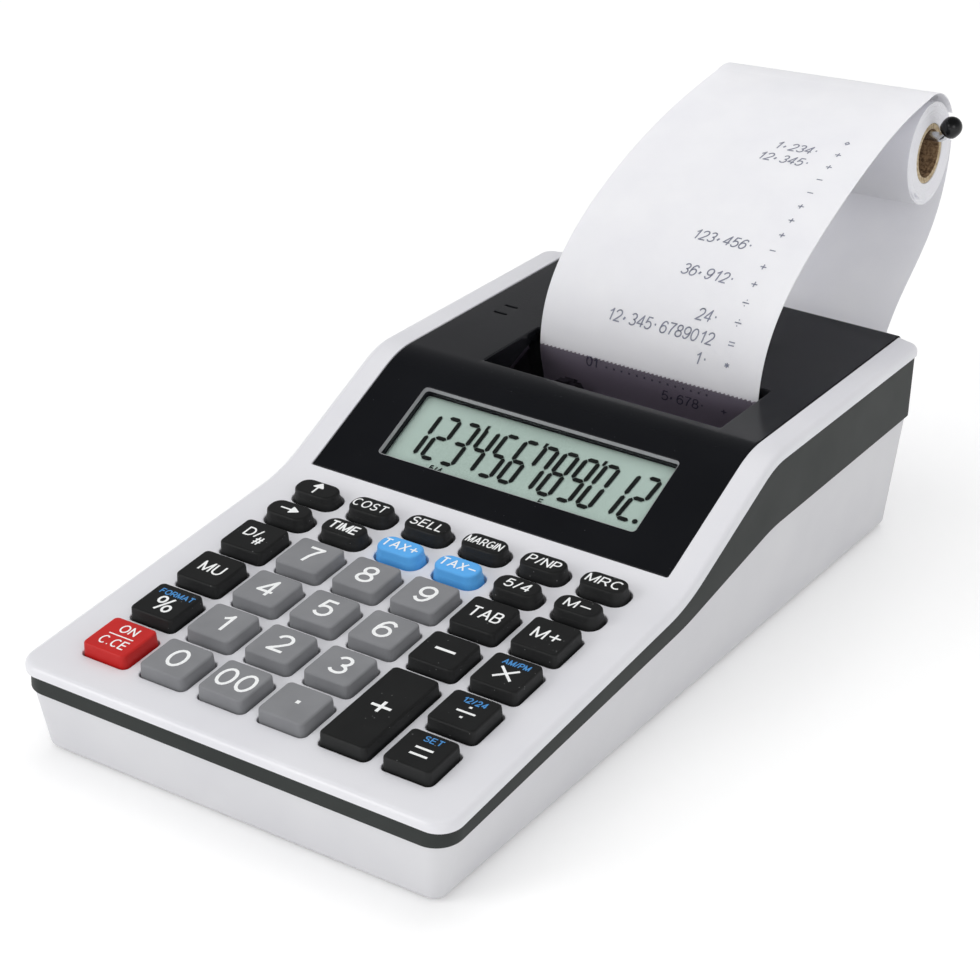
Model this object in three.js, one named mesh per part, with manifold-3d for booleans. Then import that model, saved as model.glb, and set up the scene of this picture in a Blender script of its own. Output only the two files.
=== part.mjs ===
// A portable printing calculator: a sloped desk case with a 35-key keyboard, a tilted display,
// a paper printer behind a smoked tear window, and a paper roll carried on a folding wire arm.
// Millimetres. +X is to the right, +Y to the back, +Z up. Inside this file Y starts at the front
// lip of the case and Z at the table; the last lines move the origin to the middle of the whole.
import * as THREE from "three";
import { mergeVertices } from "three/addons/utils/BufferGeometryUtils.js";
import Module from "manifold-3d";

const wasm = await Module();
wasm.setup();

// Case shape
const caseWidth = 102;
const caseDepth = 197;
const footHeight = 0.6;
const wall = 2;
const coverThickness = 2.2;
const frontCornerRadius = 5;
const rearCornerRadius = 3.5;
const coverEdgeRadius = 1.35;
const seam = 0.15;
const touchGap = 0.3;
const overrun = 1;
const weldReach = 1e-4;

// The cover's top line seen from the side: the keyboard rises gently to the knee, the display
// slope climbs to the brow, and the rear deck is nearly level. Each bend is blended.
const frontTopHeight = 20.05;
const kneeY = 86.1;
const kneeHeight = 28.76;
const browY = 122.3;
const browHeight = 46.58;
const rearTopHeight = 47.42;
const kneeBlend = 6.5;
const browBlend = 4.9;

// The line between the dark band and the pale bottom case
const bandInset = 0.4;
const bandFrontHeight = 14.3;
const bandKneeY = 88;
const bandKneeHeight = 21.5;
const bandBrowY = 125.5;
const bandBrowHeight = 28.5;
const bandRearHeight = 29.8;
const bandBlend = 4;

// Bottom case
const bottomTopInset = 0.9;
const bottomSideTaper = 4.7;
const bottomFrontTaper = 4.75;
const bottomEdgeRadius = 0.9;
const bottomCornerRadius = 4;

// Keyboard
const columns = 6;
const columnPitch = 14.3;
const rowPitch = 14.45;
const keySize = 11.1;
const keyHoleGap = 0.25;
const firstRowFront = 8.85;
const smallRowPitch = 10;
const smallRowsFront = 66.6;
const smallKeyDepth = 6.7;
const keyRise = 2.9;
const smallKeyRise = 3.1;
const keyDraft = 0.35;
const keyBevel = 0.45;
const keyCornerRadius = 1.2;
const smallKeyCornerRadius = 2.6;
const smallKeyShoulder = 0.75;
const smallKeyShoulderHeight = 1.1;
const keyFlangeReach = 0.6;
const keyFlangeThickness = 0.9;
const keyTravel = 1.2;
const domeSpare = 0.2;
const domeRadius = 2.6;
const domeTopRadius = 1.7;
const matThickness = 0.8;
const boardThickness = 1.6;
const boardSideGap = 2.2;
const boardFrontGap = 2;
const boardBackY = 90;
const chipCount = 3;
const chipSize = 11;
const chipPitch = 26;
const chipRow = 24;
const pillarRadius = 1.8;
const pillarInset = 5.6;
const pillarFrontY = 10;
const pillarBackY = 84;
const pillarSides = 12;
const domeSides = 6;

// Display panel, printer well and tear window
const armWidth = 6.35;
const fasciaBehindKnee = 3.3;
const fasciaThickness = 2;
const fasciaSunk = 0.1;
const fasciaOverhang = 2.2;
const fasciaRearRadius = 1.6;
const fasciaHem = 5;
const fasciaHemThickness = 1.6;
const lcdAlongSlope = 18.35;
const lcdWindowWidth = 64.6;
const lcdWindowHeight = 19.4;
const lcdGlassWidth = 70;
const lcdGlassHeight = 23;
const lcdGlassThickness = 1.9;
const lcdDepth = 2;
const bezelWall = 1;
const bezelDraft = 0.4;
const ribbonWidth = 46;
const ribbonThickness = 0.4;
const ribbonOverlap = 4;
const wellCentreX = 4.3;
const wellBehindBrow = 6.4;
const wellDepth = 29.3;
const wellWall = 1.4;
const wellAboveShafts = 0.3;
const deckSlotLength = 3.6;
const deckSlotWidth = 0.9;
const deckSlotDepth = 0.7;
const deckSlotX = -37.6;
const deckSlotBehindBrow = 31.9;
const deckSlotPitch = 4.8;
const tearEdgeBehindWall = 20.8;
const tearEdgeDrop = 2.3;
const windowFrontBehindWall = 1.8;
const windowFrontDrop = 8.53;
const windowCrestBehindWall = 11.6;
const windowCrestDrop = 2.63;
const windowThickness = 1.2;
const windowSideGap = 0.3;
const windowShelf = 1.2;
const windowSteps = 8;
const toothCount = 46;
const toothLength = 0.7;
const toothMargin = 2;

// Printer: the platen feeds the paper, the type wheel prints on it, and a motor drives both
const platenRadius = 6;
const platenBehindEdge = 10.1;
const platenBelowEdge = 13.4;
const platenEndGap = 0.9;
const shaftRadius = 1.5;
const shaftClearance = 0.25;
const shaftStub = 0.9;
const gearModule = 0.8;
const gearTeeth = 19;
const pinionTeeth = 8;
const gearWidth = 3;
const gearAddendumShare = 0.62;
const gearDedendumShare = 1.05;
const toothRootShare = 0.52;
const toothTipShare = 0.22;
const typeWheelWidth = 5;
const typeWheelX = -14;
const typeWheelCore = 7.3;
const typeReach = 0.9;
const typeWidth = 2;
const typeCount = 13;
const inkRadius = 4.2;
const inkWidth = 8;
const inkAngle = THREE.MathUtils.degToRad(205);
const frameWall = 1.2;
const frameAheadOfInk = 5.2;
const frameBehindPlaten = 8;
const frameAboveShaft = 4.8;
const motorRadius = 7;
const motorWallGap = 3.4;
const motorFloorGap = 0.76;
const motorAngle = THREE.MathUtils.degToRad(222);
const motorShaftRadius = 0.8;
const motorShaftLength = 4;
const bracketAboveMotorAxis = 4;

// Paper
const paperWidth = 56.6;
const paperSideGap = 1.9;
const paperThickness = 0.24;
const paperGap = 0.3;
const rollRadius = 12.45;
const rollSides = 48;
const rollBehindCase = 36.7;
const rollAboveDeck = 31.2;
const coreRadius = 6.9;
const coreWall = 1;
const coreInset = 1.3;
const wireTilt = THREE.MathUtils.degToRad(2.3);
const tapeAtEdge = 0.7;
const tapeEdgeHandle = 5;
const tapeRise = 20.6;
const tapeReach = 61.5;
const tapeOverAngle = THREE.MathUtils.degToRad(106);
const tapeOverGap = 1.95;
const tapeEndAngle = THREE.MathUtils.degToRad(33);
const tapeEndGap = 1.1;
const feedDrop = 24.9;
const feedMidBack = 22.6;
const feedMidRise = 20.4;
const feedMidAngle = THREE.MathUtils.degToRad(54);
const feedMidHandle = 17;
const feedSlotHandle = 16;
const slotHeight = 18;
const slotOpening = 3.2;
const slotMargin = 2;

// Wire arm
const wireRadius = 1.2;
const wireBend = 3;
const wireEndBend = 1.2;
const hingeBack = 3;
const hingeHeight = 24.6;
const hingeStub = 1.2;
const hingeEarLength = 5;
const hingeEarSize = 5;
const uprightGap = 4.6;
const capAngle = THREE.MathUtils.degToRad(55);
const capBeyondRoll = 2.6;
const capReach = 3.8;
const capRadius = 2.6;
const capLength = 6;
const capSocket = 3;
const capDome = 1.8;
const wireSides = 8;
const wireSteps = 60;

// Power and feet
const cellRadius = 7.25;
const cellLength = 50.5;
const cellPitch = 14.4;
const cellCount = 4;
const cellFrontY = 69.5;
const cellTipRadius = 2.7;
const cellTipLength = 1;
const cellSides = 16;
const doorMargin = 3;
const doorThickness = 1.2;
const doorGap = 0.3;
const doorTravel = 3;
const doorGripDepth = 0.6;
const doorGripWidth = 18;
const doorGripLength = 4;
const footWidth = 62;
const footDepth = 6;
const footInsetY = 9;
const footRecess = 0.8;

const roundSides = 24;
const cornerSteps = 4;

// Solids that can be joined and cut

function solidOf(geometry) {
  const bare = new THREE.BufferGeometry();
  bare.setAttribute("position", geometry.getAttribute("position"));
  bare.setIndex(geometry.index);
  const merged = mergeVertices(bare, weldReach);
  return new wasm.Manifold(
    new wasm.Mesh({
      numProp: 3,
      vertProperties: new Float32Array(merged.attributes.position.array),
      triVerts: new Uint32Array(merged.index.array),
    }),
  );
}

function geometryOf(solid) {
  const mesh = solid.getMesh();
  const geometry = new THREE.BufferGeometry();
  geometry.setAttribute("position", new THREE.BufferAttribute(mesh.vertProperties, 3));
  geometry.setIndex(new THREE.BufferAttribute(mesh.triVerts, 1));
  const flat = geometry.toNonIndexed();
  flat.computeVertexNormals();
  return flat;
}

function join(first, ...others) {
  return geometryOf(others.reduce((sum, next) => sum.add(solidOf(next)), solidOf(first)));
}

function cut(body, ...tools) {
  return geometryOf(tools.reduce((rest, tool) => rest.subtract(solidOf(tool)), solidOf(body)));
}

function moved(geometry, x, y, z) {
  return geometry.translate(x, y, z);
}

// A box between two corners
function block(lowX, highX, lowY, highY, lowZ, highZ) {
  const box = new THREE.BoxGeometry(highX - lowX, highY - lowY, highZ - lowZ);
  return moved(box, (lowX + highX) / 2, (lowY + highY) / 2, (lowZ + highZ) / 2);
}

// A round bar along X
function barX(radius, lowX, highX, y, z, sides = roundSides) {
  const bar = new THREE.CylinderGeometry(radius, radius, highX - lowX, sides);
  bar.rotateZ(-Math.PI / 2);
  return moved(bar, (lowX + highX) / 2, y, z);
}

// A round post along Z
function postZ(bottomRadius, topRadius, x, y, lowZ, highZ, sides) {
  const post = new THREE.CylinderGeometry(topRadius, bottomRadius, highZ - lowZ, sides);
  post.rotateX(Math.PI / 2);
  return moved(post, x, y, (lowZ + highZ) / 2);
}

// An outline of (y, z) points pushed along X
function pushX(shape, lowX, highX, curveSegments = cornerSteps) {
  const pushed = new THREE.ExtrudeGeometry(shape, {
    depth: highX - lowX,
    bevelEnabled: false,
    curveSegments,
  });
  const turn = new THREE.Matrix4().makeBasis(
    new THREE.Vector3(0, 1, 0),
    new THREE.Vector3(0, 0, 1),
    new THREE.Vector3(1, 0, 0),
  );
  pushed.applyMatrix4(turn);
  return moved(pushed, lowX, 0, 0);
}

// A body stacked from rings. Each ring is its right half, front to back; the left half mirrors it,
// and the flat strips between the halves close the bottom and the top.
function stack(rings) {
  const count = rings[0].length;
  const around = 2 * count;
  const positions = [];
  for (const ring of rings) {
    for (const p of ring) positions.push(p.x, p.y, p.z);
    for (let i = count - 1; i >= 0; i--) positions.push(-ring[i].x, ring[i].y, ring[i].z);
  }
  const faces = [];
  for (let level = 0; level + 1 < rings.length; level++) {
    for (let i = 0; i < around; i++) {
      const a = level * around + i;
      const b = level * around + ((i + 1) % around);
      faces.push(a, b, b + around, a, b + around, a + around);
    }
  }
  const top = (rings.length - 1) * around;
  for (let i = 0; i + 1 < count; i++) {
    const left = around - 1 - i;
    faces.push(i, left, i + 1, i + 1, left, left - 1);
    faces.push(top + i, top + i + 1, top + left, top + i + 1, top + left - 1, top + left);
  }
  const geometry = new THREE.BufferGeometry();
  geometry.setAttribute("position", new THREE.Float32BufferAttribute(positions, 3));
  geometry.setIndex(faces);
  return geometry;
}

// Case lines seen from the side

// A line through knots (y, z) whose bends are blended over a half length on each side.
function sideLine(knots, blends) {
  const slope = (i) => (knots[i + 1].z - knots[i].z) / (knots[i + 1].y - knots[i].y);
  return (y) => {
    for (let i = 1; i + 1 < knots.length; i++) {
      const reach = blends[i - 1];
      const past = y - knots[i].y + reach;
      if (Math.abs(y - knots[i].y) < reach)
        return (
          knots[i].z + slope(i - 1) * (y - knots[i].y) +
          ((slope(i) - slope(i - 1)) * past * past) / (4 * reach)
        );
    }
    let i = 0;
    while (i + 2 < knots.length && y > knots[i + 1].y) i++;
    return knots[i].z + slope(i) * (y - knots[i].y);
  };
}

// The same knots moved inward by a distance square to each stretch
function loweredKnots(knots, distance) {
  const slopes = [];
  for (let i = 0; i + 1 < knots.length; i++)
    slopes.push((knots[i + 1].z - knots[i].z) / (knots[i + 1].y - knots[i].y));
  const drop = slopes.map((s) => distance * Math.hypot(1, s));
  return knots.map((knot, i) => {
    if (i === 0) return { y: knot.y, z: knot.z - drop[0] };
    if (i === slopes.length) return { y: knot.y, z: knot.z - drop[i - 1] };
    const shift = (drop[i] - drop[i - 1]) / (slopes[i] - slopes[i - 1]);
    return { y: knot.y + shift, z: knot.z - drop[i - 1] + slopes[i - 1] * shift };
  });
}

const topKnots = [
  { y: 0, z: frontTopHeight },
  { y: kneeY, z: kneeHeight },
  { y: browY, z: browHeight },
  { y: caseDepth, z: rearTopHeight },
];
const bandKnots = [
  { y: 0, z: bandFrontHeight },
  { y: bandKneeY, z: bandKneeHeight },
  { y: bandBrowY, z: bandBrowHeight },
  { y: caseDepth, z: bandRearHeight },
];
const topBlends = [kneeBlend, browBlend];
const topLine = sideLine(topKnots, topBlends);
const lipLine = sideLine(loweredKnots(topKnots, coverThickness), topBlends);
const fasciaTopLine = sideLine(loweredKnots(topKnots, fasciaSunk), topBlends);
const fasciaUnderLine = sideLine(loweredKnots(topKnots, fasciaSunk + fasciaThickness), topBlends);
const bandLine = sideLine(bandKnots, [bandBlend, bandBlend]);
const keyboardSlope = Math.atan((kneeHeight - frontTopHeight) / kneeY);
const displaySlope = Math.atan((browHeight - kneeHeight) / (browY - kneeY));

// Places that follow the case line
const fasciaFrontY = kneeY + fasciaBehindKnee;
const wellFrontY = browY + wellBehindBrow;
const wellBackY = wellFrontY + wellDepth;
const tearEdgeY = wellFrontY + tearEdgeBehindWall;
const tearEdgeHeight = topLine(tearEdgeY) - tearEdgeDrop;
const platenY = tearEdgeY + platenBehindEdge;
const platenHeight = tearEdgeHeight - platenBelowEdge;
const wellFloorHeight = platenHeight + shaftRadius + wellAboveShafts;
const wellWidth = paperWidth + 2 * paperSideGap;
const rollY = caseDepth + rollBehindCase;
const rollHeight = rearTopHeight + rollAboveDeck;

// Places along Y where a case line bends
const bendShares = [-1, -0.5, 0, 0.5, 1];
const bends = [
  ...bendShares.map((share) => kneeY + share * kneeBlend),
  ...bendShares.map((share) => browY + share * browBlend),
].sort((a, b) => a - b);

// The right half of a rounded rectangle in plan, drawn in by an inset
function planHalf(halfWidth, frontY, backY, frontRadius, backRadius, inset, height) {
  const points = [];
  const x = halfWidth - inset;
  const front = Math.max(frontRadius - inset, 0);
  const back = Math.max(backRadius - inset, 0);
  for (let i = 0; i <= cornerSteps; i++) {
    const turn = (i / cornerSteps) * (Math.PI / 2);
    const px = x - front + front * Math.sin(turn);
    points.push({ x: px, y: frontY + inset + front - front * Math.cos(turn) });
  }
  for (const y of bends) points.push({ x, y });
  for (let i = 0; i <= cornerSteps; i++) {
    const turn = (i / cornerSteps) * (Math.PI / 2);
    const px = x - back + back * Math.cos(turn);
    points.push({ x: px, y: backY - inset - back + back * Math.sin(turn) });
  }
  return points.map((p) => new THREE.Vector3(p.x, p.y, height(p.y)));
}

function material(color, roughness, metalness = 0) {
  return new THREE.MeshStandardMaterial({ color, roughness, metalness });
}

const whitePlastic = material(0xe4e4e8, 0.38);
const palePlastic = material(0xd9d9dc, 0.42);
const darkPlastic = material(0x3a3b3a, 0.5);
const glossBlack = material(0x1c1d20, 0.18);
const greyRubber = material(0x7e8185, 0.65);
const blackRubber = material(0x1e1f1f, 0.7);
const redRubber = material(0xd2201f, 0.6);
const blueRubber = material(0x4fa0e6, 0.55);
const bezelGrey = material(0xa8a8aa, 0.3, 0.3);
const glassGreen = material(0xa9bdb3, 0.15);
const smokedGlass = material(0x2a262b, 0.1);
const paper = material(0xeeeef3, 0.85);
const cardboard = material(0x8a6b4a, 0.9);
const steel = material(0xb9babd, 0.25, 0.9);
const zincSheet = material(0x9da0a3, 0.4, 0.8);
const nylon = material(0xe8e4d6, 0.5);
const boardGreen = material(0x1f5a38, 0.5);
const siliconeMat = material(0xcfd3cf, 0.7);
const inkFelt = material(0x2b2350, 0.95);
const footRubber = material(0x262626, 0.85);
const cellWrap = material(0x8f9296, 0.4, 0.3);

const calculator = new THREE.Group();

function addPiece(group, name, geometry, look) {
  const mesh = new THREE.Mesh(geometry, look);
  mesh.name = name;
  group.add(mesh);
  return mesh;
}

const halfCase = caseWidth / 2;
const keyboard = new THREE.Group();
keyboard.position.set(0, 0, frontTopHeight);
keyboard.rotation.x = keyboardSlope;
calculator.add(keyboard);
keyboard.updateMatrix();

// Keys: name and material of each, by row from the front. The tall plus key spans two rows.
const squareRows = [
  [
    ["key_on_clear", redRubber],
    ["key_0", greyRubber],
    ["key_00", greyRubber],
    ["key_point", greyRubber],
    ["key_plus", blackRubber],
    ["key_equals", blackRubber],
  ],
  [
    ["key_percent", blackRubber],
    ["key_1", greyRubber],
    ["key_2", greyRubber],
    ["key_3", greyRubber],
    null,
    ["key_divide", blackRubber],
  ],
  [
    ["key_markup", blackRubber],
    ["key_4", greyRubber],
    ["key_5", greyRubber],
    ["key_6", greyRubber],
    ["key_minus", blackRubber],
    ["key_multiply", blackRubber],
  ],
  [
    ["key_date", blackRubber],
    ["key_7", greyRubber],
    ["key_8", greyRubber],
    ["key_9", greyRubber],
    ["key_tab", blackRubber],
    ["key_memory_plus", blackRubber],
  ],
];
const smallRows = [
  [
    ["key_right", blackRubber],
    ["key_time", blackRubber],
    ["key_tax_plus", blueRubber],
    ["key_tax_minus", blueRubber],
    ["key_round", blackRubber],
    ["key_memory_minus", blackRubber],
  ],
  [
    ["key_up", blackRubber],
    ["key_cost", blackRubber],
    ["key_sell", blackRubber],
    ["key_margin", blackRubber],
    ["key_print", blackRubber],
    ["key_memory_recall", blackRubber],
  ],
];

// Every key as its place on the keyboard plane, its plan size and its kind
const keys = [];
function columnX(column) {
  return (column - (columns - 1) / 2) * columnPitch;
}
squareRows.forEach((row, r) =>
  row.forEach((entry, column) => {
    if (!entry) return;
    const depth = entry[0] === "key_plus" ? keySize + rowPitch : keySize;
    const front = firstRowFront + r * rowPitch;
    keys.push({ name: entry[0], look: entry[1], x: columnX(column), front, depth, small: false });
  }),
);
smallRows.forEach((row, r) =>
  row.forEach(([name, look], column) => {
    const front = smallRowsFront + r * smallRowPitch;
    keys.push({ name, look, x: columnX(column), front, depth: smallKeyDepth, small: true });
  }),
);

// The right half of a rounded key outline, drawn in or out by an inset, at one height
function keyRing(key, inset, z) {
  const radius = Math.max((key.small ? smallKeyCornerRadius : keyCornerRadius) - inset, keyBevel);
  const x = keySize / 2 - inset;
  const y = key.depth / 2 - inset;
  const steps = key.small ? cornerSteps - 1 : cornerSteps - 2;
  const points = [];
  for (const side of [-1, 1])
    for (let i = 0; i <= steps; i++) {
      const share = side < 0 ? i / steps : 1 - i / steps;
      const turn = share * (Math.PI / 2);
      const px = x - radius + radius * Math.sin(turn);
      points.push(new THREE.Vector3(px, side * (y - radius + radius * Math.cos(turn)), z));
    }
  return points;
}

const flangeTop = -coverThickness - touchGap;
const flangeBottom = flangeTop - keyFlangeThickness;
const domeTop = flangeBottom - touchGap;
const matTop = domeTop - keyTravel - domeSpare;
const matBottom = matTop - matThickness;
const boardTop = matBottom - touchGap;
const boardBottom = boardTop - boardThickness;

// A key: a flange under the cover and a drafted cap with a bevelled top. The small keys have a
// wider skirt that narrows at a shoulder.
function keyBody(key) {
  const rings = [
    keyRing(key, -keyFlangeReach, flangeBottom),
    keyRing(key, -keyFlangeReach, flangeTop),
    keyRing(key, 0, flangeTop),
  ];
  const rise = key.small ? smallKeyRise : keyRise;
  if (key.small) {
    rings.push(keyRing(key, keyDraft, smallKeyShoulderHeight));
    rings.push(keyRing(key, smallKeyShoulder, rise - keyBevel));
    rings.push(keyRing(key, smallKeyShoulder + keyBevel, rise));
  } else {
    rings.push(keyRing(key, keyDraft, rise - keyBevel));
    rings.push(keyRing(key, keyDraft + keyBevel, rise));
  }
  return stack(rings);
}

// A key's hole in the cover, wider than the key by the hole gap
function keyHole(key) {
  const hole = stack([
    keyRing(key, -keyHoleGap, flangeTop - overrun),
    keyRing(key, -keyHoleGap, coverThickness),
  ]);
  moved(hole, key.x, key.front + key.depth / 2, 0);
  return hole.applyMatrix4(keyboard.matrix);
}

for (const key of keys) {
  const mesh = addPiece(keyboard, key.name, keyBody(key), key.look);
  mesh.position.set(key.x, key.front + key.depth / 2, 0);
}

// Pillars under the cover carry the main board; posts in the bottom case stand under them
const pillarX = halfCase - pillarInset;
const pillarPlaces = [
  [-pillarX, pillarFrontY],
  [-pillarX, pillarBackY],
  [pillarX, pillarFrontY],
  [pillarX, pillarBackY],
];

const matSide = halfCase - wall - boardSideGap - pillarInset;
const keyMat = join(
  block(
    -matSide,
    matSide,
    firstRowFront - keyFlangeReach,
    smallRowsFront + smallRowPitch + smallKeyDepth + keyFlangeReach,
    matBottom,
    matTop,
  ),
  ...keys.map(({ x, front, depth }) =>
    postZ(domeRadius, domeTopRadius, x, front + depth / 2, matBottom, domeTop, domeSides),
  ),
);
addPiece(keyboard, "key_mat", keyMat, siliconeMat);

const boardHalf = halfCase - wall - boardSideGap;
const boardPlate = block(-boardHalf, boardHalf, wall + boardFrontGap, boardBackY, boardBottom, boardTop);
const chips = [];
for (let i = 0; i < chipCount; i++) {
  const x = (i - (chipCount - 1) / 2) * chipPitch;
  chips.push(
    block(
      x - chipSize / 2,
      x + chipSize / 2,
      chipRow,
      chipRow + chipSize,
      boardBottom - boardThickness,
      boardBottom + boardThickness / 2,
    ),
  );
}
addPiece(keyboard, "main_board", join(boardPlate, ...chips), boardGreen);

// Top cover: a thick plate that follows the case line, with a rounded edge, key holes and a
// U-shaped opening that leaves two arms beside the display panel
const fasciaHalf = halfCase - armWidth;
const roundingShares = [0, 1 / 3, 2 / 3, 1];
function coverRing(inset, height) {
  return planHalf(halfCase, 0, caseDepth, frontCornerRadius, rearCornerRadius, inset, height);
}
const coverPlate = stack([
  coverRing(0, lipLine),
  ...roundingShares.map((share) => {
    const turn = (share * Math.PI) / 2;
    const inset = coverEdgeRadius * (1 - Math.cos(turn));
    const drop = coverEdgeRadius * (1 - Math.sin(turn));
    return coverRing(inset, (y) => topLine(y) - drop);
  }),
]);
const pillars = pillarPlaces.map(([x, y]) =>
  postZ(
    pillarRadius,
    pillarRadius,
    x,
    y,
    boardTop + touchGap,
    -coverThickness + touchGap,
    pillarSides,
  ).applyMatrix4(keyboard.matrix),
);
const coverOpening = block(
  -fasciaHalf - seam,
  fasciaHalf + seam,
  fasciaFrontY - seam,
  caseDepth + fasciaOverhang + overrun,
  0,
  rearTopHeight + overrun,
);
const topCover = join(cut(coverPlate, coverOpening, ...keys.map(keyHole)), ...pillars);
addPiece(calculator, "top_cover", topCover, whitePlastic);

// Middle band: a dark wall ring between the cover's lip and the bottom case
function bandRing(inset, height) {
  const half = halfCase - bandInset;
  const back = caseDepth - bandInset;
  return planHalf(half, bandInset, back, frontCornerRadius, rearCornerRadius, inset, height);
}
const bandOuter = stack([
  bandRing(0, (y) => bandLine(y)),
  bandRing(0, (y) => lipLine(y) - seam),
]);
const bandInner = stack([
  bandRing(wall, (y) => bandLine(y) - overrun),
  bandRing(wall, (y) => lipLine(y) + overrun),
]);
addPiece(calculator, "middle_band", cut(bandOuter, bandInner), darkPlastic);

// Bottom case: a tapered tub with a rounded lower edge
const bottomBase = {
  half: halfCase - bottomSideTaper,
  front: bottomFrontTaper,
  back: caseDepth - bottomTopInset,
};
const bottomRim = {
  half: halfCase - bottomTopInset,
  front: bottomTopInset,
  back: caseDepth - bottomTopInset,
};
function tubRing(plan, inset, height) {
  const { half, front, back } = plan;
  return planHalf(half, front, back, bottomCornerRadius, rearCornerRadius, inset, height);
}
const tubOuter = stack([
  tubRing(bottomBase, bottomEdgeRadius, () => footHeight),
  tubRing(bottomBase, bottomEdgeRadius / 3, () => footHeight + bottomEdgeRadius / 3),
  tubRing(bottomBase, 0, () => footHeight + bottomEdgeRadius),
  tubRing(bottomRim, 0, (y) => bandLine(y) - seam),
]);
const floorTop = footHeight + wall;
const tubInner = stack([
  tubRing(bottomBase, wall, () => floorTop),
  tubRing(bottomRim, wall, (y) => bandLine(y) + overrun),
]);

// Battery cells lie along Y in the middle of the floor, over the battery door
const cellsHalf = ((cellCount - 1) * cellPitch) / 2 + cellRadius;
const doorHalf = cellsHalf + doorMargin;
const doorFront = cellFrontY - doorMargin;
const doorBack = cellFrontY + cellLength + cellTipLength + doorMargin;
const doorOpening = block(
  -doorHalf - doorGap,
  doorHalf + doorGap,
  doorFront - doorGap - doorTravel,
  doorBack + doorGap,
  footHeight - overrun,
  footHeight + doorThickness + doorGap,
);
const cellOpening = block(
  -cellsHalf,
  cellsHalf,
  cellFrontY - doorGap,
  cellFrontY + cellLength + cellTipLength + doorGap,
  footHeight,
  floorTop + overrun,
);
const footPlaces = [
  ["front_foot", bottomFrontTaper + footInsetY],
  ["rear_foot", caseDepth - bottomTopInset - footInsetY],
];
const footRecesses = footPlaces.map(([, y]) =>
  block(
    -footWidth / 2 - touchGap,
    footWidth / 2 + touchGap,
    y - footDepth / 2 - touchGap,
    y + footDepth / 2 + touchGap,
    footHeight - overrun,
    footHeight + footRecess,
  ),
);
const slotHalf = paperWidth / 2 + slotMargin;
const paperSlot = block(
  wellCentreX - slotHalf,
  wellCentreX + slotHalf,
  caseDepth - bottomTopInset - wall - overrun,
  caseDepth + overrun,
  slotHeight - slotOpening / 2,
  slotHeight + slotOpening / 2,
);

// The wire arm's pin turns in an ear behind the case, left of the paper
const uprightX = wellCentreX - paperWidth / 2 - uprightGap;
const hingeY = caseDepth - bottomTopInset + hingeBack;
const earHigh = uprightX - wireBend;
const earLow = earHigh - hingeEarLength;
const earBack = hingeY + hingeEarSize / 2;
const ear = cut(
  block(
    earLow,
    earHigh,
    caseDepth - bottomTopInset - wall / 2,
    earBack,
    hingeHeight - hingeEarSize / 2,
    hingeHeight + hingeEarSize / 2,
  ),
  barX(wireRadius + shaftClearance, earLow - overrun, earHigh + overrun, hingeY, hingeHeight),
);

// Posts and ribs on the floor carry the main board and the printer frame
const wellLow = wellCentreX - wellWidth / 2;
const wellHigh = wellCentreX + wellWidth / 2;
const frameLow = wellLow - wellWall - touchGap - frameWall;
const frameHigh = wellHigh + wellWall + touchGap + frameWall;
const typeWheelY = platenY - gearModule * gearTeeth;
const inkReach = typeWheelCore + typeReach + inkRadius + touchGap;
const inkY = typeWheelY + inkReach * Math.cos(inkAngle);
const inkHeight = platenHeight + inkReach * Math.sin(inkAngle);
const motorReach = (gearModule * (gearTeeth + pinionTeeth)) / 2;
const motorY = typeWheelY + motorReach * Math.cos(motorAngle);
const motorHeight = platenHeight + motorReach * Math.sin(motorAngle);
const frameFloorHeight = motorHeight - motorRadius - motorFloorGap - frameWall;
const frameFrontY = inkY - frameAheadOfInk;
const frameBackY = platenY + frameBehindPlaten;
const boardPosts = pillarPlaces.map(([x, y]) => {
  const top = new THREE.Vector3(x, y, boardBottom - touchGap).applyMatrix4(keyboard.matrix);
  const inward = x - Math.sign(x) * pillarRadius;
  return postZ(pillarRadius, pillarRadius, inward, y, footHeight + wall / 2, top.z, pillarSides);
});
const ribPlaces = [frameFrontY + wall, frameBackY - 2 * wall];
const frameRibs = ribPlaces.map((y) =>
  block(frameLow, frameHigh, y, y + wall, footHeight + wall / 2, frameFloorHeight - touchGap),
);
const bottomCase = join(
  cut(tubOuter, tubInner, doorOpening, cellOpening, paperSlot, ...footRecesses),
  ear,
  ...boardPosts,
  ...frameRibs,
);
addPiece(calculator, "bottom_case", bottomCase, palePlastic);

for (const [name, y] of footPlaces) {
  const foot = block(
    -footWidth / 2,
    footWidth / 2,
    y - footDepth / 2,
    y + footDepth / 2,
    0,
    footHeight + footRecess - touchGap,
  );
  addPiece(calculator, name, foot, footRubber);
}

const doorPlate = block(
  -doorHalf,
  doorHalf,
  doorFront,
  doorBack,
  footHeight,
  footHeight + doorThickness,
);
const doorGrip = block(
  -doorGripWidth / 2,
  doorGripWidth / 2,
  doorFront + doorMargin,
  doorFront + doorMargin + doorGripLength,
  footHeight - overrun,
  footHeight + doorGripDepth,
);
addPiece(calculator, "battery_door", cut(doorPlate, doorGrip), palePlastic);

const cellHeight = footHeight + doorThickness + touchGap + cellRadius;
const cells = [];
for (let i = 0; i < cellCount; i++) {
  const x = (i - (cellCount - 1) / 2) * cellPitch;
  const cell = new THREE.CylinderGeometry(cellRadius, cellRadius, cellLength, cellSides);
  const tip = new THREE.CylinderGeometry(cellTipRadius, cellTipRadius, 2 * cellTipLength, cellSides);
  cells.push(moved(cell, x, cellFrontY + cellLength / 2, cellHeight));
  cells.push(moved(tip, x, cellFrontY + cellLength, cellHeight));
}
addPiece(calculator, "battery_cells", join(...cells), cellWrap);

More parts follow.
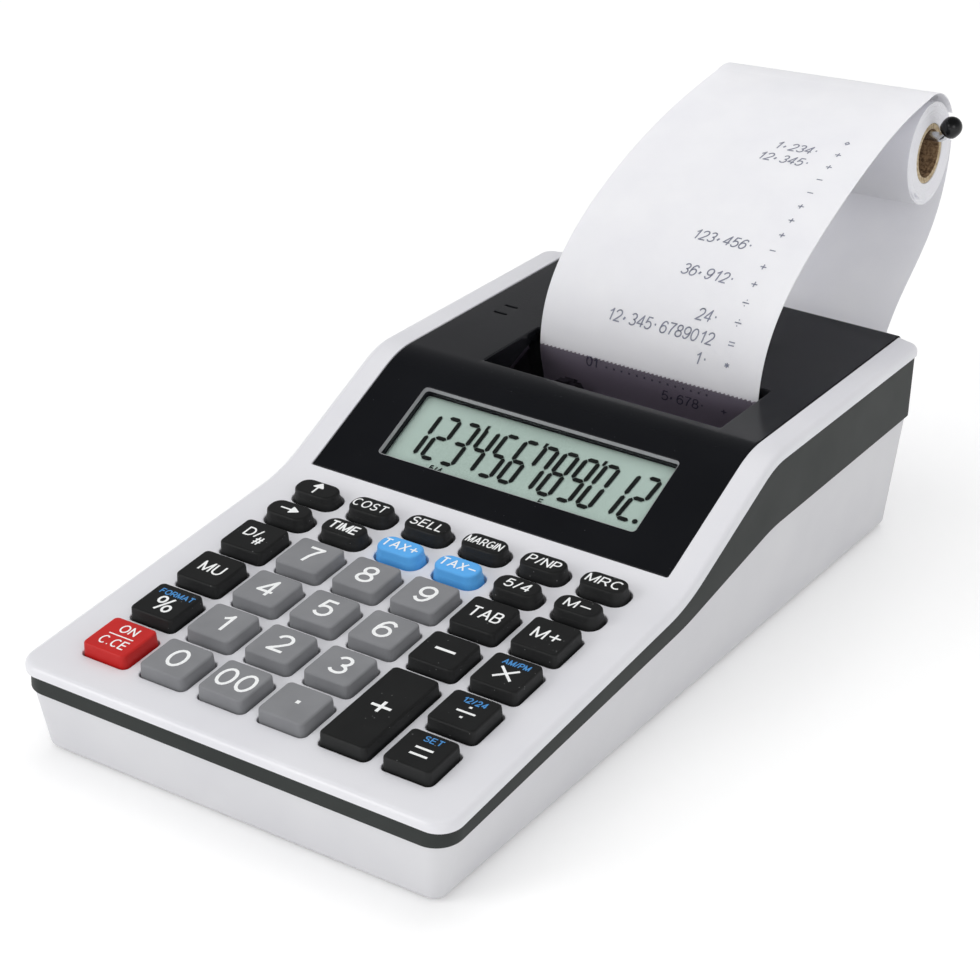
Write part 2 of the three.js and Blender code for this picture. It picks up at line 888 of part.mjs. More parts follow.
// Display panel: a bent plate from the keyboard to the rear, with a rounded back edge and a hem,
// the printer well's walls under it, and cuts for the display window and the well
const fasciaBack = caseDepth + fasciaOverhang;
const fasciaShape = new THREE.Shape();
const lineYs = [fasciaFrontY, ...bends.filter((y) => y > fasciaFrontY)];
lineYs.forEach((y, i) => {
  if (i === 0) fasciaShape.moveTo(y, fasciaTopLine(y));
  else fasciaShape.lineTo(y, fasciaTopLine(y));
});
const backTop = fasciaTopLine(fasciaBack);
fasciaShape.lineTo(fasciaBack - fasciaRearRadius, backTop);
fasciaShape.absarc(
  fasciaBack - fasciaRearRadius,
  backTop - fasciaRearRadius,
  fasciaRearRadius,
  Math.PI / 2,
  0,
  true,
);
fasciaShape.lineTo(fasciaBack, backTop - fasciaHem);
fasciaShape.lineTo(fasciaBack - fasciaHemThickness, backTop - fasciaHem);
fasciaShape.lineTo(fasciaBack - fasciaHemThickness, backTop - fasciaThickness);
for (const y of [...lineYs].reverse()) fasciaShape.lineTo(y, fasciaUnderLine(y));
const fasciaPlate = pushX(fasciaShape, -fasciaHalf, fasciaHalf);

const deckUnder = fasciaUnderLine(browY + browBlend) + fasciaThickness / 2;
const wellBox = block(
  wellLow - wellWall,
  wellHigh + wellWall,
  wellFrontY - wellWall,
  wellBackY - wellWall,
  wellFloorHeight,
  deckUnder,
);
const wellMouth = block(
  wellLow,
  wellHigh,
  wellFrontY,
  wellBackY,
  wellFloorHeight - overrun,
  rearTopHeight + overrun,
);

// The tear window bends down from its toothed edge to the well's front wall. Its outline is taken
// between two depths square to its face, and it lies on a shelf along each side of the well.
const windowFront = new THREE.Vector2(
  wellFrontY + windowFrontBehindWall,
  tearEdgeHeight - windowFrontDrop,
);
const windowCrest = new THREE.Vector2(
  wellFrontY + windowCrestBehindWall,
  tearEdgeHeight - windowCrestDrop,
);
const windowEdge = new THREE.Vector2(tearEdgeY, tearEdgeHeight);
const windowCurve = new THREE.QuadraticBezierCurve(windowFront, windowCrest, windowEdge);
function windowLayer(topDepth, bottomDepth) {
  const places = windowCurve.getPoints(windowSteps).map((point, i) => {
    const along = windowCurve.getTangent(i / windowSteps);
    return { point, down: new THREE.Vector2(along.y, -along.x) };
  });
  const top = places.map(({ point, down }) => point.clone().addScaledVector(down, topDepth));
  const bottom = places.map(({ point, down }) => point.clone().addScaledVector(down, bottomDepth));
  return new THREE.Shape([...top, ...bottom.reverse()]);
}
const shelfOutline = windowLayer(windowThickness + touchGap, windowThickness + touchGap + windowShelf);
const shelves = [
  pushX(shelfOutline, wellLow - wellWall / 2, wellLow + windowShelf),
  pushX(shelfOutline, wellHigh - windowShelf, wellHigh + wellWall / 2),
];
const deckSlots = [0, 1].map((i) => {
  const y = browY + deckSlotBehindBrow + i * deckSlotPitch;
  return block(
    deckSlotX - deckSlotLength / 2,
    deckSlotX + deckSlotLength / 2,
    y - deckSlotWidth / 2,
    y + deckSlotWidth / 2,
    fasciaTopLine(y) - deckSlotDepth,
    rearTopHeight + overrun,
  );
});

// The display's own frame: its origin is on the panel's face at the middle of the window
const display = new THREE.Group();
const displayY = fasciaFrontY + lcdAlongSlope * Math.cos(displaySlope);
display.position.set(0, displayY, fasciaTopLine(displayY));
display.rotation.x = displaySlope;
calculator.add(display);
display.updateMatrix();
const bezelHalfWidth = lcdWindowWidth / 2 + bezelWall;
const bezelHalfHeight = lcdWindowHeight / 2 + bezelWall;
const displayCut = block(
  -bezelHalfWidth - touchGap,
  bezelHalfWidth + touchGap,
  -bezelHalfHeight - touchGap,
  bezelHalfHeight + touchGap,
  -lcdDepth - overrun,
  overrun,
).applyMatrix4(display.matrix);
const wellWalls = cut(wellBox, wellMouth);
const fascia = join(cut(fasciaPlate, wellMouth, displayCut, ...deckSlots), wellWalls, ...shelves);
addPiece(calculator, "display_fascia", fascia, glossBlack);

// The bezel lines the display window with drafted walls
function windowRing(halfWidth, halfHeight, z) {
  return [new THREE.Vector3(halfWidth, -halfHeight, z), new THREE.Vector3(halfWidth, halfHeight, z)];
}
const bezelOuter = stack([
  windowRing(bezelHalfWidth, bezelHalfHeight, -lcdDepth),
  windowRing(bezelHalfWidth, bezelHalfHeight, 0),
]);
const halfWindow = lcdWindowWidth / 2;
const halfWindowHeight = lcdWindowHeight / 2;
const bezelInner = stack([
  windowRing(halfWindow - 2 * bezelDraft, halfWindowHeight - 2 * bezelDraft, -2 * lcdDepth),
  windowRing(halfWindow + bezelDraft, halfWindowHeight + bezelDraft, lcdDepth),
]);
addPiece(display, "lcd_bezel", cut(bezelOuter, bezelInner), bezelGrey);

const glassTop = -lcdDepth - touchGap;
const glassBottom = glassTop - lcdGlassThickness;
const lcdGlass = block(
  -lcdGlassWidth / 2,
  lcdGlassWidth / 2,
  -lcdGlassHeight / 2,
  lcdGlassHeight / 2,
  glassBottom,
  glassTop,
);
addPiece(display, "lcd_glass", lcdGlass, glassGreen);

// A flat ribbon runs from under the display glass down onto the back edge of the main board
function underGlass(y) {
  return new THREE.Vector3(0, y, glassBottom - touchGap).applyMatrix4(display.matrix);
}
function onBoard(y) {
  const height = boardTop + touchGap + ribbonThickness;
  return new THREE.Vector3(0, y, height).applyMatrix4(keyboard.matrix);
}
const ribbonPlaces = [
  underGlass(0),
  underGlass(-lcdGlassHeight / 2),
  onBoard(boardBackY),
  onBoard(boardBackY - ribbonOverlap),
];
const ribbonTop = ribbonPlaces.map((place) => new THREE.Vector2(place.y, place.z));
const ribbonUnder = ribbonTop.map((point) => new THREE.Vector2(point.x, point.y - ribbonThickness));
const ribbonShape = new THREE.Shape([...ribbonTop, ...ribbonUnder.reverse()]);
const lcdRibbon = pushX(ribbonShape, -ribbonWidth / 2, ribbonWidth / 2);
addPiece(calculator, "lcd_ribbon", lcdRibbon, nylon);

// Tear window: the smoked plate with a row of teeth cut into its rear edge
const windowLow = wellLow + windowSideGap;
const windowHigh = wellHigh - windowSideGap;
const toothPitch = (windowHigh - windowLow - 2 * toothMargin) / toothCount;
const combShape = new THREE.Shape();
combShape.moveTo(windowLow + toothMargin, tearEdgeY + overrun);
for (let i = 0; i < toothCount; i++) {
  const x = windowLow + toothMargin + i * toothPitch;
  combShape.lineTo(x, tearEdgeY);
  combShape.lineTo(x + toothPitch / 2, tearEdgeY - toothLength);
}
combShape.lineTo(windowHigh - toothMargin, tearEdgeY);
combShape.lineTo(windowHigh - toothMargin, tearEdgeY + overrun);
const comb = new THREE.ExtrudeGeometry(combShape, { depth: windowFrontDrop, bevelEnabled: false });
moved(comb, 0, 0, tearEdgeHeight - windowFrontDrop / 2);
const windowPlate = pushX(windowLayer(0, windowThickness), windowLow, windowHigh);
addPiece(calculator, "tear_window", cut(windowPlate, comb), smokedGlass);

// Gears: straight teeth on a round blank, pushed along X. A phase of zero puts a tooth along +Y.
function gearShape(teeth, phase) {
  const pitchRadius = (gearModule * teeth) / 2;
  const rootRadius = pitchRadius - gearDedendumShare * gearModule;
  const tipRadius = pitchRadius + gearAddendumShare * gearModule;
  const step = (2 * Math.PI) / teeth;
  const shape = new THREE.Shape();
  for (let i = 0; i < teeth; i++) {
    const middle = phase + i * step;
    const flank = [
      [rootRadius, -toothRootShare],
      [tipRadius, -toothTipShare],
      [tipRadius, toothTipShare],
      [rootRadius, toothRootShare],
    ];
    flank.forEach(([radius, share], k) => {
      const angle = middle + (share * step) / 2;
      const y = radius * Math.cos(angle);
      const z = radius * Math.sin(angle);
      if (i === 0 && k === 0) shape.moveTo(y, z);
      else shape.lineTo(y, z);
    });
  }
  shape.closePath();
  return shape;
}
const gearHigh = frameLow - touchGap;
const gearLow = gearHigh - gearWidth;
const halfTooth = Math.PI / gearTeeth;
function gear(teeth, phase, y, z) {
  return moved(pushX(gearShape(teeth, phase), gearLow, gearHigh), 0, y, z);
}

// Platen roller, with its shaft through both side plates and its gear outside the left one. A
// tooth points straight forward.
const shaftHigh = frameHigh + shaftStub;
const platenRoller = join(
  barX(platenRadius, wellLow + platenEndGap, wellHigh - platenEndGap, platenY, platenHeight),
  barX(shaftRadius, gearLow, shaftHigh, platenY, platenHeight, pillarSides),
  gear(gearTeeth, Math.PI, platenY, platenHeight),
);
addPiece(calculator, "platen_roller", platenRoller, footRubber);

// Type wheel: a wheel with raised type blocks; its gear has a gap where the platen's tooth enters
const typeBlocks = [];
for (let i = 0; i < typeCount; i++) {
  const type = block(
    typeWheelX - typeWheelWidth / 4,
    typeWheelX + typeWheelWidth / 4,
    -typeWidth / 2,
    typeWidth / 2,
    typeWheelCore / 2,
    typeWheelCore + typeReach,
  );
  type.rotateX((i / typeCount) * 2 * Math.PI);
  typeBlocks.push(moved(type, 0, typeWheelY, platenHeight));
}
const typeWheel = join(
  barX(
    typeWheelCore,
    typeWheelX - typeWheelWidth / 2,
    typeWheelX + typeWheelWidth / 2,
    typeWheelY,
    platenHeight,
  ),
  barX(shaftRadius, gearLow, shaftHigh, typeWheelY, platenHeight, pillarSides),
  gear(gearTeeth, halfTooth, typeWheelY, platenHeight),
  ...typeBlocks,
);
addPiece(calculator, "type_wheel", typeWheel, nylon);

const inkRoller = join(
  barX(inkRadius, typeWheelX - inkWidth / 2, typeWheelX + inkWidth / 2, inkY, inkHeight),
  barX(shaftRadius, frameLow, shaftHigh, inkY, inkHeight, pillarSides),
);
addPiece(calculator, "ink_roller", inkRoller, inkFelt);

// Motor and pinion: the pinion meshes with the type wheel's gear, so one of its teeth takes the
// phase of the gap that faces it
const toothStep = (2 * Math.PI) / gearTeeth;
const offset = (motorAngle - halfTooth) / toothStep;
const pastTooth = offset - Math.floor(offset);
const pinionStep = (2 * Math.PI) / pinionTeeth;
const pinionPhase = motorAngle + Math.PI + (0.5 - pastTooth) * -pinionStep;
const bracketHigh = gearLow - touchGap * 2;
const bracketLow = bracketHigh - frameWall;
const motorHigh = bracketLow - touchGap;
const motorLow = bandInset + wall + motorWallGap - halfCase;
const motorPinion = join(
  gear(pinionTeeth, pinionPhase, motorY, motorHeight),
  barX(motorShaftRadius, motorHigh - motorShaftLength, gearLow + overrun, motorY, motorHeight, pillarSides),
);
addPiece(calculator, "motor_pinion", motorPinion, nylon);
const motorBore = barX(
  motorShaftRadius + shaftClearance,
  motorHigh - motorShaftLength - touchGap,
  motorHigh + overrun,
  motorY,
  motorHeight,
  pillarSides,
);
const motorCan = barX(motorRadius, motorLow, motorHigh, motorY, motorHeight);
addPiece(calculator, "printer_motor", cut(motorCan, motorBore), steel);

// Printer frame: a folded floor with two side plates and the motor's bracket
const frameTop = platenHeight + frameAboveShaft;
const frameFloorTop = frameFloorHeight + frameWall;
const bracketFront = motorY - motorRadius - frameWall;
const bracketBack = motorY + motorRadius + frameWall;
const shaftPlaces = [
  [platenY, platenHeight],
  [typeWheelY, platenHeight],
  [inkY, inkHeight],
];
const shaftHoles = shaftPlaces.map(([y, z]) =>
  barX(shaftRadius + shaftClearance, frameLow - overrun, frameHigh + overrun, y, z, pillarSides),
);
const bracketHole = barX(
  motorShaftRadius + shaftClearance,
  bracketLow - overrun,
  bracketHigh + overrun,
  motorY,
  motorHeight,
  pillarSides,
);
const framePlates = join(
  block(frameLow, frameHigh, frameFrontY, frameBackY, frameFloorHeight, frameFloorTop),
  block(frameLow, frameLow + frameWall, frameFrontY, frameBackY, frameFloorHeight, frameTop),
  block(frameHigh - frameWall, frameHigh, frameFrontY, frameBackY, frameFloorHeight, frameTop),
  block(bracketLow, frameLow + overrun, bracketFront, bracketBack, frameFloorHeight, frameFloorTop),
  block(
    bracketLow,
    bracketHigh,
    bracketFront,
    bracketBack,
    frameFloorHeight,
    motorHeight + bracketAboveMotorAxis,
  ),
);
addPiece(calculator, "printer_frame", cut(framePlates, ...shaftHoles, bracketHole), zincSheet);

// Wire arm: the pin in the ear, the upright leaning back, the bar through the core, tilted up to
// the right, and the short end that carries the cap
const boreRadius = coreRadius - coreWall;
const rise = Math.tan(wireTilt);
const barRise = boreRadius - wireRadius - touchGap;
const barHeight = (x) => rollHeight + barRise + rise * (x - wellCentreX);
const endX = wellCentreX + paperWidth / 2 + capBeyondRoll;
const capAxis = new THREE.Vector3(Math.cos(capAngle), 0, Math.sin(capAngle));
const capStart = capReach - capLength / 2;
const barEnd = new THREE.Vector3(endX, rollY, barHeight(endX));
const wireCorners = [
  new THREE.Vector3(earLow - hingeStub, hingeY, hingeHeight),
  new THREE.Vector3(uprightX, hingeY, hingeHeight),
  new THREE.Vector3(uprightX, rollY, barHeight(uprightX)),
  barEnd,
  barEnd.clone().addScaledVector(capAxis, capStart + capSocket - touchGap),
];
const wireBends = [wireBend, wireBend, wireEndBend];
const wirePath = new THREE.CurvePath();
let wireFrom = wireCorners[0];
wireBends.forEach((bend, i) => {
  const corner = wireCorners[i + 1];
  const before = corner.clone().sub(wireCorners[i]).setLength(bend);
  const after = wireCorners[i + 2].clone().sub(corner).setLength(bend);
  const enter = corner.clone().sub(before);
  const leave = corner.clone().add(after);
  wirePath.add(new THREE.LineCurve3(wireFrom, enter));
  wirePath.add(new THREE.QuadraticBezierCurve3(enter, corner, leave));
  wireFrom = leave;
});
wirePath.add(new THREE.LineCurve3(wireFrom, wireCorners[4]));
const wireSection = new THREE.Shape();
for (let i = 0; i < wireSides; i++) {
  const angle = (i / wireSides) * 2 * Math.PI;
  const place = [wireRadius * Math.cos(angle), wireRadius * Math.sin(angle)];
  if (i === 0) wireSection.moveTo(...place);
  else wireSection.lineTo(...place);
}
wireSection.closePath();
const paperArm = new THREE.ExtrudeGeometry(wireSection, { steps: wireSteps, extrudePath: wirePath });
addPiece(calculator, "paper_arm", paperArm, steel);

// Cap: a domed plastic sleeve, turned about its own axis, with a socket for the wire's end
const socketRadius = wireRadius + touchGap;
const capProfile = [
  new THREE.Vector2(0, capSocket),
  new THREE.Vector2(socketRadius, capSocket),
  new THREE.Vector2(socketRadius, 0),
  new THREE.Vector2(capRadius, 0),
];
for (let i = 0; i <= cornerSteps; i++) {
  const angle = ((i / cornerSteps) * Math.PI) / 2;
  const height = capLength - capDome + capDome * Math.sin(angle);
  capProfile.push(new THREE.Vector2(i === cornerSteps ? 0 : capRadius * Math.cos(angle), height));
}
const armCap = new THREE.LatheGeometry(capProfile, pillarSides);
armCap.rotateX(Math.PI / 2);
armCap.rotateY(Math.PI / 2 - capAngle);
const cap = addPiece(calculator, "arm_cap", armCap, footRubber);
cap.position.copy(barEnd).addScaledVector(capAxis, capStart);

// Paper roll on its cardboard core, tilted with the bar
const roll = new THREE.Group();
roll.position.set(wellCentreX, rollY, rollHeight);
roll.rotation.y = -wireTilt;
calculator.add(roll);
function ringX(outerRadius, innerRadius, width, sides) {
  const body = barX(outerRadius, -width / 2, width / 2, 0, 0, sides);
  const bore = barX(innerRadius, -width / 2 - overrun, width / 2 + overrun, 0, 0, sides);
  return cut(body, bore);
}
const paperCore = ringX(coreRadius, boreRadius, paperWidth - 2 * coreInset, roundSides);
addPiece(roll, "paper_core", paperCore, cardboard);
addPiece(roll, "paper_roll", ringX(rollRadius, coreRadius + touchGap, paperWidth, rollSides), paper);

// Paper tape: one strip from the back of the roll, down behind the case, in through the rear
// slot, round the front of the platen, up past the tear edge, and over the roll to its free end.
// Its middle line is drawn from the side.
function onCircle(middle, radius, angle) {
  return middle.clone().add(new THREE.Vector2(radius * Math.cos(angle), radius * Math.sin(angle)));
}
function heading(angle, length) {
  return new THREE.Vector2(length * Math.cos(angle), length * Math.sin(angle));
}
function bezier(from, leaving, arriving, to) {
  return new THREE.CubicBezierCurve(from, from.clone().add(leaving), to.clone().sub(arriving), to);
}
const rightAngle = Math.PI / 2;
const halfTape = paperThickness / 2;
const platenMiddle = new THREE.Vector2(platenY, platenHeight);
const wrapRadius = platenRadius + paperGap + halfTape;
const rollMiddle = new THREE.Vector2(rollY, rollHeight);
const feedStart = onCircle(rollMiddle, rollRadius + paperGap + halfTape, 0);
const feedMiddle = new THREE.Vector2(caseDepth + feedMidBack, slotHeight + feedMidRise);
const feedHeading = feedMidAngle + Math.PI;
const slotPlace = new THREE.Vector2(caseDepth, slotHeight);
const slotToPlaten = platenMiddle.clone().sub(slotPlace);
const slotHeading = slotToPlaten.angle() + Math.asin(wrapRadius / slotToPlaten.length());
const wrapStart = onCircle(platenMiddle, wrapRadius, slotHeading + rightAngle);
const wrapEnd = onCircle(platenMiddle, wrapRadius, Math.PI);
const tapeEdge = new THREE.Vector2(tearEdgeY + tapeAtEdge + halfTape, tearEdgeHeight);
const overRadius = rollRadius + tapeOverGap;
const endRadius = rollRadius + tapeEndGap;
const overStart = onCircle(rollMiddle, overRadius, tapeOverAngle);
const tapeEnd = onCircle(rollMiddle, endRadius, tapeEndAngle);
const arcHandleShare = (4 / 3) * Math.tan((tapeOverAngle - tapeEndAngle) / 4);
const overHeading = tapeOverAngle - rightAngle;
const endHeading = tapeEndAngle - rightAngle;

// Each stretch with its steps and how much of the roll's tilt it shares at its two ends
const tapeStretches = [
  {
    curve: bezier(
      feedStart,
      heading(-rightAngle, feedDrop),
      heading(feedHeading, feedMidHandle),
      feedMiddle,
    ),
    steps: 9,
    tiltShares: [1, 0.4],
  },
  {
    curve: bezier(
      feedMiddle,
      heading(feedHeading, feedMidHandle),
      heading(slotHeading, feedSlotHandle),
      slotPlace,
    ),
    steps: 7,
    tiltShares: [0.4, 0],
  },
  { curve: new THREE.LineCurve(slotPlace, wrapStart), steps: 1, tiltShares: [0, 0] },
  {
    curve: new THREE.EllipseCurve(
      platenY,
      platenHeight,
      wrapRadius,
      wrapRadius,
      slotHeading + rightAngle,
      Math.PI,
      true,
    ),
    steps: 6,
    tiltShares: [0, 0],
  },
  {
    curve: bezier(
      wrapEnd,
      heading(rightAngle, tapeEdgeHandle),
      heading(rightAngle, tapeEdgeHandle),
      tapeEdge,
    ),
    steps: 5,
    tiltShares: [0, 0],
  },
  {
    curve: bezier(
      tapeEdge,
      heading(rightAngle, tapeRise),
      heading(overHeading, tapeReach),
      overStart,
    ),
    steps: 16,
    tiltShares: [0, 1.6],
  },
  {
    curve: bezier(
      overStart,
      heading(overHeading, arcHandleShare * overRadius),
      heading(endHeading, arcHandleShare * endRadius),
      tapeEnd,
    ),
    steps: 9,
    tiltShares: [1.6, 1],
  },
];
const tapeSections = [];
tapeStretches.forEach(({ curve, steps, tiltShares }, number) => {
  for (let i = number === 0 ? 0 : 1; i <= steps; i++) {
    const share = i / steps;
    const tilt = THREE.MathUtils.lerp(...tiltShares, share);
    tapeSections.push({ place: curve.getPoint(share), along: curve.getTangent(share), tilt });
  }
});

// A strip of four corners at each section: the two faces at the low end and at the high end of X
function strip(sections, centreX, width, thickness) {
  const positions = [];
  for (const { place, along, tilt } of sections)
    for (const [side, face] of [[-1, 1], [1, 1], [1, -1], [-1, -1]]) {
      const across = (side * width) / 2;
      const out = (face * thickness) / 2;
      const y = place.x - along.y * out;
      const z = place.y + along.x * out + rise * tilt * across;
      positions.push(centreX + across, y, z);
    }
  const faces = [];
  const last = 4 * (sections.length - 1);
  for (let start = 0; start < last; start += 4)
    for (let i = 0; i < 4; i++) {
      const a = start + i;
      const b = start + ((i + 1) % 4);
      faces.push(a, b, b + 4, a, b + 4, a + 4);
    }
  faces.push(0, 2, 1, 0, 3, 2, last, last + 1, last + 2, last, last + 2, last + 3);
  const geometry = new THREE.BufferGeometry();
  geometry.setAttribute("position", new THREE.Float32BufferAttribute(positions, 3));
  geometry.setIndex(faces);
  return geometry.toNonIndexed();
}
const paperTape = strip(tapeSections, wellCentreX, paperWidth, paperThickness);
paperTape.computeVertexNormals();
addPiece(calculator, "paper_tape", paperTape, paper);

// The part's origin is on the table, in the middle of the whole calculator's length
const overall = new THREE.Box3().setFromObject(calculator);
calculator.position.y = -(overall.min.y + overall.max.y) / 2;
const part = new THREE.Group();
part.add(calculator);

export default part;
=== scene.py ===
import math
import random
from bisect import bisect

import bmesh
import bpy
from mathutils import Matrix, Vector
from mathutils.geometry import delaunay_2d_cdt


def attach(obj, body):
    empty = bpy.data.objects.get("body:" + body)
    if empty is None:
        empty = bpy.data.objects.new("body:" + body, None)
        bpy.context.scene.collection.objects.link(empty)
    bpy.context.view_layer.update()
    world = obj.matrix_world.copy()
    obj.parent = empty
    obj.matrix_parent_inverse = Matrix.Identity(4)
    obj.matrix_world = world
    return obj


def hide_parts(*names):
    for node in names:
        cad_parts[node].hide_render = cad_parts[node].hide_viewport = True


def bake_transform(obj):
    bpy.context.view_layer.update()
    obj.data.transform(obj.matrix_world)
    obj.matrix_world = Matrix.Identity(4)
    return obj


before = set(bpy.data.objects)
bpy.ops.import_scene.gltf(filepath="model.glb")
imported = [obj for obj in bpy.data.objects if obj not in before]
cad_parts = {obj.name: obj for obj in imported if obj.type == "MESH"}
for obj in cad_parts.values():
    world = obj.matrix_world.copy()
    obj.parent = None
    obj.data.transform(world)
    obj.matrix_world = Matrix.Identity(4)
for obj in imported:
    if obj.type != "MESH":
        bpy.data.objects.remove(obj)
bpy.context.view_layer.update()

# Bottom case
# A tapered tub of pale ABS, injection moulded in one shot. Its mould was spark eroded, which
# leaves a fine satin grain. Posts on its floor take the board and an ear at its back the paper arm.
case_half = 51.0
case_depth = 197.0
part_middle = 123.345
foot_height = 0.6
wall, cover_thick, seam = 2.0, 2.2, 0.15
knee, brow = 86.1, 122.3
lip_height, knee_height, brow_height, rear_height = 20.05, 28.76, 46.58, 47.42
top_blends, band_blends = [6.5, 4.9], [4, 4]
top_knots = [(0, lip_height), (knee, knee_height), (brow, brow_height), (case_depth, rear_height)]
band_knots = [(0, 14.1), (88, 21.35), (125.5, 28.5), (case_depth, 29.8)]
side_places = [76 + 1.25 * i for i in range(46)]


def at(x, y, z):
    """A place in the case's millimetres (right, back from the front lip, up) as metres of the part."""
    return (x / 1000, (y - part_middle) / 1000, z / 1000)


def quarter(steps):
    """The angles of a quarter turn in equal steps."""
    return [k / steps * math.pi / 2 for k in range(steps + 1)]


def circle(x, y, radius, count):
    """Points round a circle, anticlockwise."""
    turns = [k / count * 2 * math.pi for k in range(count)]
    return [(x + radius * math.cos(t), y + radius * math.sin(t)) for t in turns]


def side_line(knots, blends):
    """The height of a side line whose straight stretches meet in short parabolas."""
    slopes = [(b[1] - a[1]) / (b[0] - a[0]) for a, b in zip(knots, knots[1:])]
    turns = [y for y, _ in knots[1:-1]]

    def height(y):
        for (corner, z), reach, before, after in zip(knots[1:], blends, slopes, slopes[1:]):
            if abs(y - corner) < reach:
                past = y - corner + reach
                return z + before * (y - corner) + (after - before) * past * past / (4 * reach)
        start = knots[bisect(turns, y)]
        return start[1] + slopes[bisect(turns, y)] * (y - start[0])

    return height


def lowered(knots, distance):
    """The same knots moved down square to each stretch."""
    slopes = [(b[1] - a[1]) / (b[0] - a[0]) for a, b in zip(knots, knots[1:])]
    drops = [distance * math.hypot(1, slope) for slope in slopes]
    moved = [(knots[0][0], knots[0][1] - drops[0])]
    for i in range(1, len(slopes)):
        shift = (drops[i] - drops[i - 1]) / (slopes[i] - slopes[i - 1])
        moved.append((knots[i][0] + shift, knots[i][1] - drops[i - 1] + slopes[i - 1] * shift))
    return moved + [(knots[-1][0], knots[-1][1] - drops[-1])]


def plan_ring(half, front, back, front_radius, back_radius, inset, height):
    """A rounded rectangle seen from above, drawn in by an inset, each point at its height."""
    x = half - inset
    ahead = max(front_radius - inset, 0.1)
    behind = max(back_radius - inset, 0.1)
    right = [
        (x - ahead + ahead * math.sin(t), front + inset + ahead - ahead * math.cos(t))
        for t in quarter(12)
    ]
    right += [(x, y) for y in side_places]
    right += [
        (x - behind + behind * math.cos(t), back - inset - behind + behind * math.sin(t))
        for t in quarter(12)
    ]
    both = right + [(-px, py) for px, py in reversed(right)]
    return [(px, py, height(py)) for px, py in both]


def loft(rings, closed=False, capped=True):
    """A skin over rings of equal length: closed joins last to first, capped fills the open ends."""
    count = len(rings[0])
    pairs = [(i, i + 1) for i in range(len(rings) - 1)]
    if closed:
        pairs.append((len(rings) - 1, 0))
    faces = [
        (a * count + i, a * count + (i + 1) % count, b * count + (i + 1) % count, b * count + i)
        for a, b in pairs
        for i in range(count)
    ]
    if capped and not closed:
        last = (len(rings) - 1) * count
        faces += [tuple(range(count)), tuple(range(last, last + count))]
    return [p for ring in rings for p in ring], faces


def block(low, high):
    """A rectangular shell between two corners."""
    plan = [(low[0], low[1]), (high[0], low[1]), (high[0], high[1]), (low[0], high[1])]
    return loft([[(*corner, z) for corner in plan] for z in (low[2], high[2])])


def joined(shells):
    """Several shells as one list of points and one of faces."""
    points, faces = [], []
    for shell_points, shell_faces in shells:
        faces += [tuple(i + len(points) for i in face) for face in shell_faces]
        points += shell_points
    return points, faces


def piece(name, shells, materials, sharp=32):
    """One mesh object of closed shells, in metres, welded, faces outward, shaded smooth."""
    points, faces = joined(shells)
    mesh = bpy.data.meshes.new(name)
    mesh.from_pydata([at(*p) for p in points], [], faces)
    skin = bmesh.new()
    skin.from_mesh(mesh)
    bmesh.ops.remove_doubles(skin, verts=skin.verts, dist=2e-6)
    bmesh.ops.recalc_face_normals(skin, faces=skin.faces)
    skin.to_mesh(mesh)
    skin.free()
    mesh.polygons.foreach_set("use_smooth", [True] * len(mesh.polygons))
    mesh.set_sharp_from_angle(angle=math.radians(sharp))
    made = bpy.data.objects.new(name, mesh)
    bpy.context.scene.collection.objects.link(made)
    for material in materials:
        mesh.materials.append(material)
    made.modifiers.new("even_shading", "WEIGHTED_NORMAL").keep_sharp = True
    return made


def cut_out(made, shells):
    """Cuts closed shells out of a piece."""
    tool = piece("cutter", shells, [])
    tool.modifiers.clear()
    made.modifiers.clear()
    cut = made.modifiers.new("cut", "BOOLEAN")
    cut.object, cut.operation, cut.solver = tool, "DIFFERENCE", "EXACT"
    bpy.context.view_layer.update()
    graph = bpy.context.evaluated_depsgraph_get()
    made.data = bpy.data.meshes.new_from_object(made.evaluated_get(graph))
    made.modifiers.clear()
    made.modifiers.new("even_shading", "WEIGHTED_NORMAL").keep_sharp = True
    bpy.data.objects.remove(tool)


def linear(code):
    """An sRGB hex colour as the linear colour that a shader takes."""
    parts = [int(code[i : i + 2], 16) / 255 for i in (1, 3, 5)]
    return tuple(p / 12.92 if p <= 0.04045 else ((p + 0.055) / 1.055) ** 2.4 for p in parts) + (1,)


def add_node(tree, kind, inputs=None, stops=(), **settings):
    """Adds a node with its settings, a ramp's stops as places and hex colours, and its inputs.

    An input takes a value, a socket, or a node, which stands for that node's first output.
    """
    node = tree.nodes.new(kind)
    for key, value in settings.items():
        setattr(node, key, value)
    for i, (position, code) in enumerate(stops):
        node.color_ramp.elements[i].position = position
        node.color_ramp.elements[i].color = linear(code)
    for key, value in (inputs or {}).items():
        if isinstance(value, bpy.types.Node):
            value = value.outputs[0]
        if isinstance(value, bpy.types.NodeSocket):
            tree.links.new(value, node.inputs[key])
        else:
            node.inputs[key].default_value = value
    return node


def new_material(name):
    """An empty material, its tree, and the place on the part in metres."""
    material = bpy.data.materials.new(name)
    material.use_nodes = True
    tree = material.node_tree
    tree.nodes.clear()
    place = add_node(tree, "ShaderNodeTexCoord").outputs["Object"]
    return material, tree, place


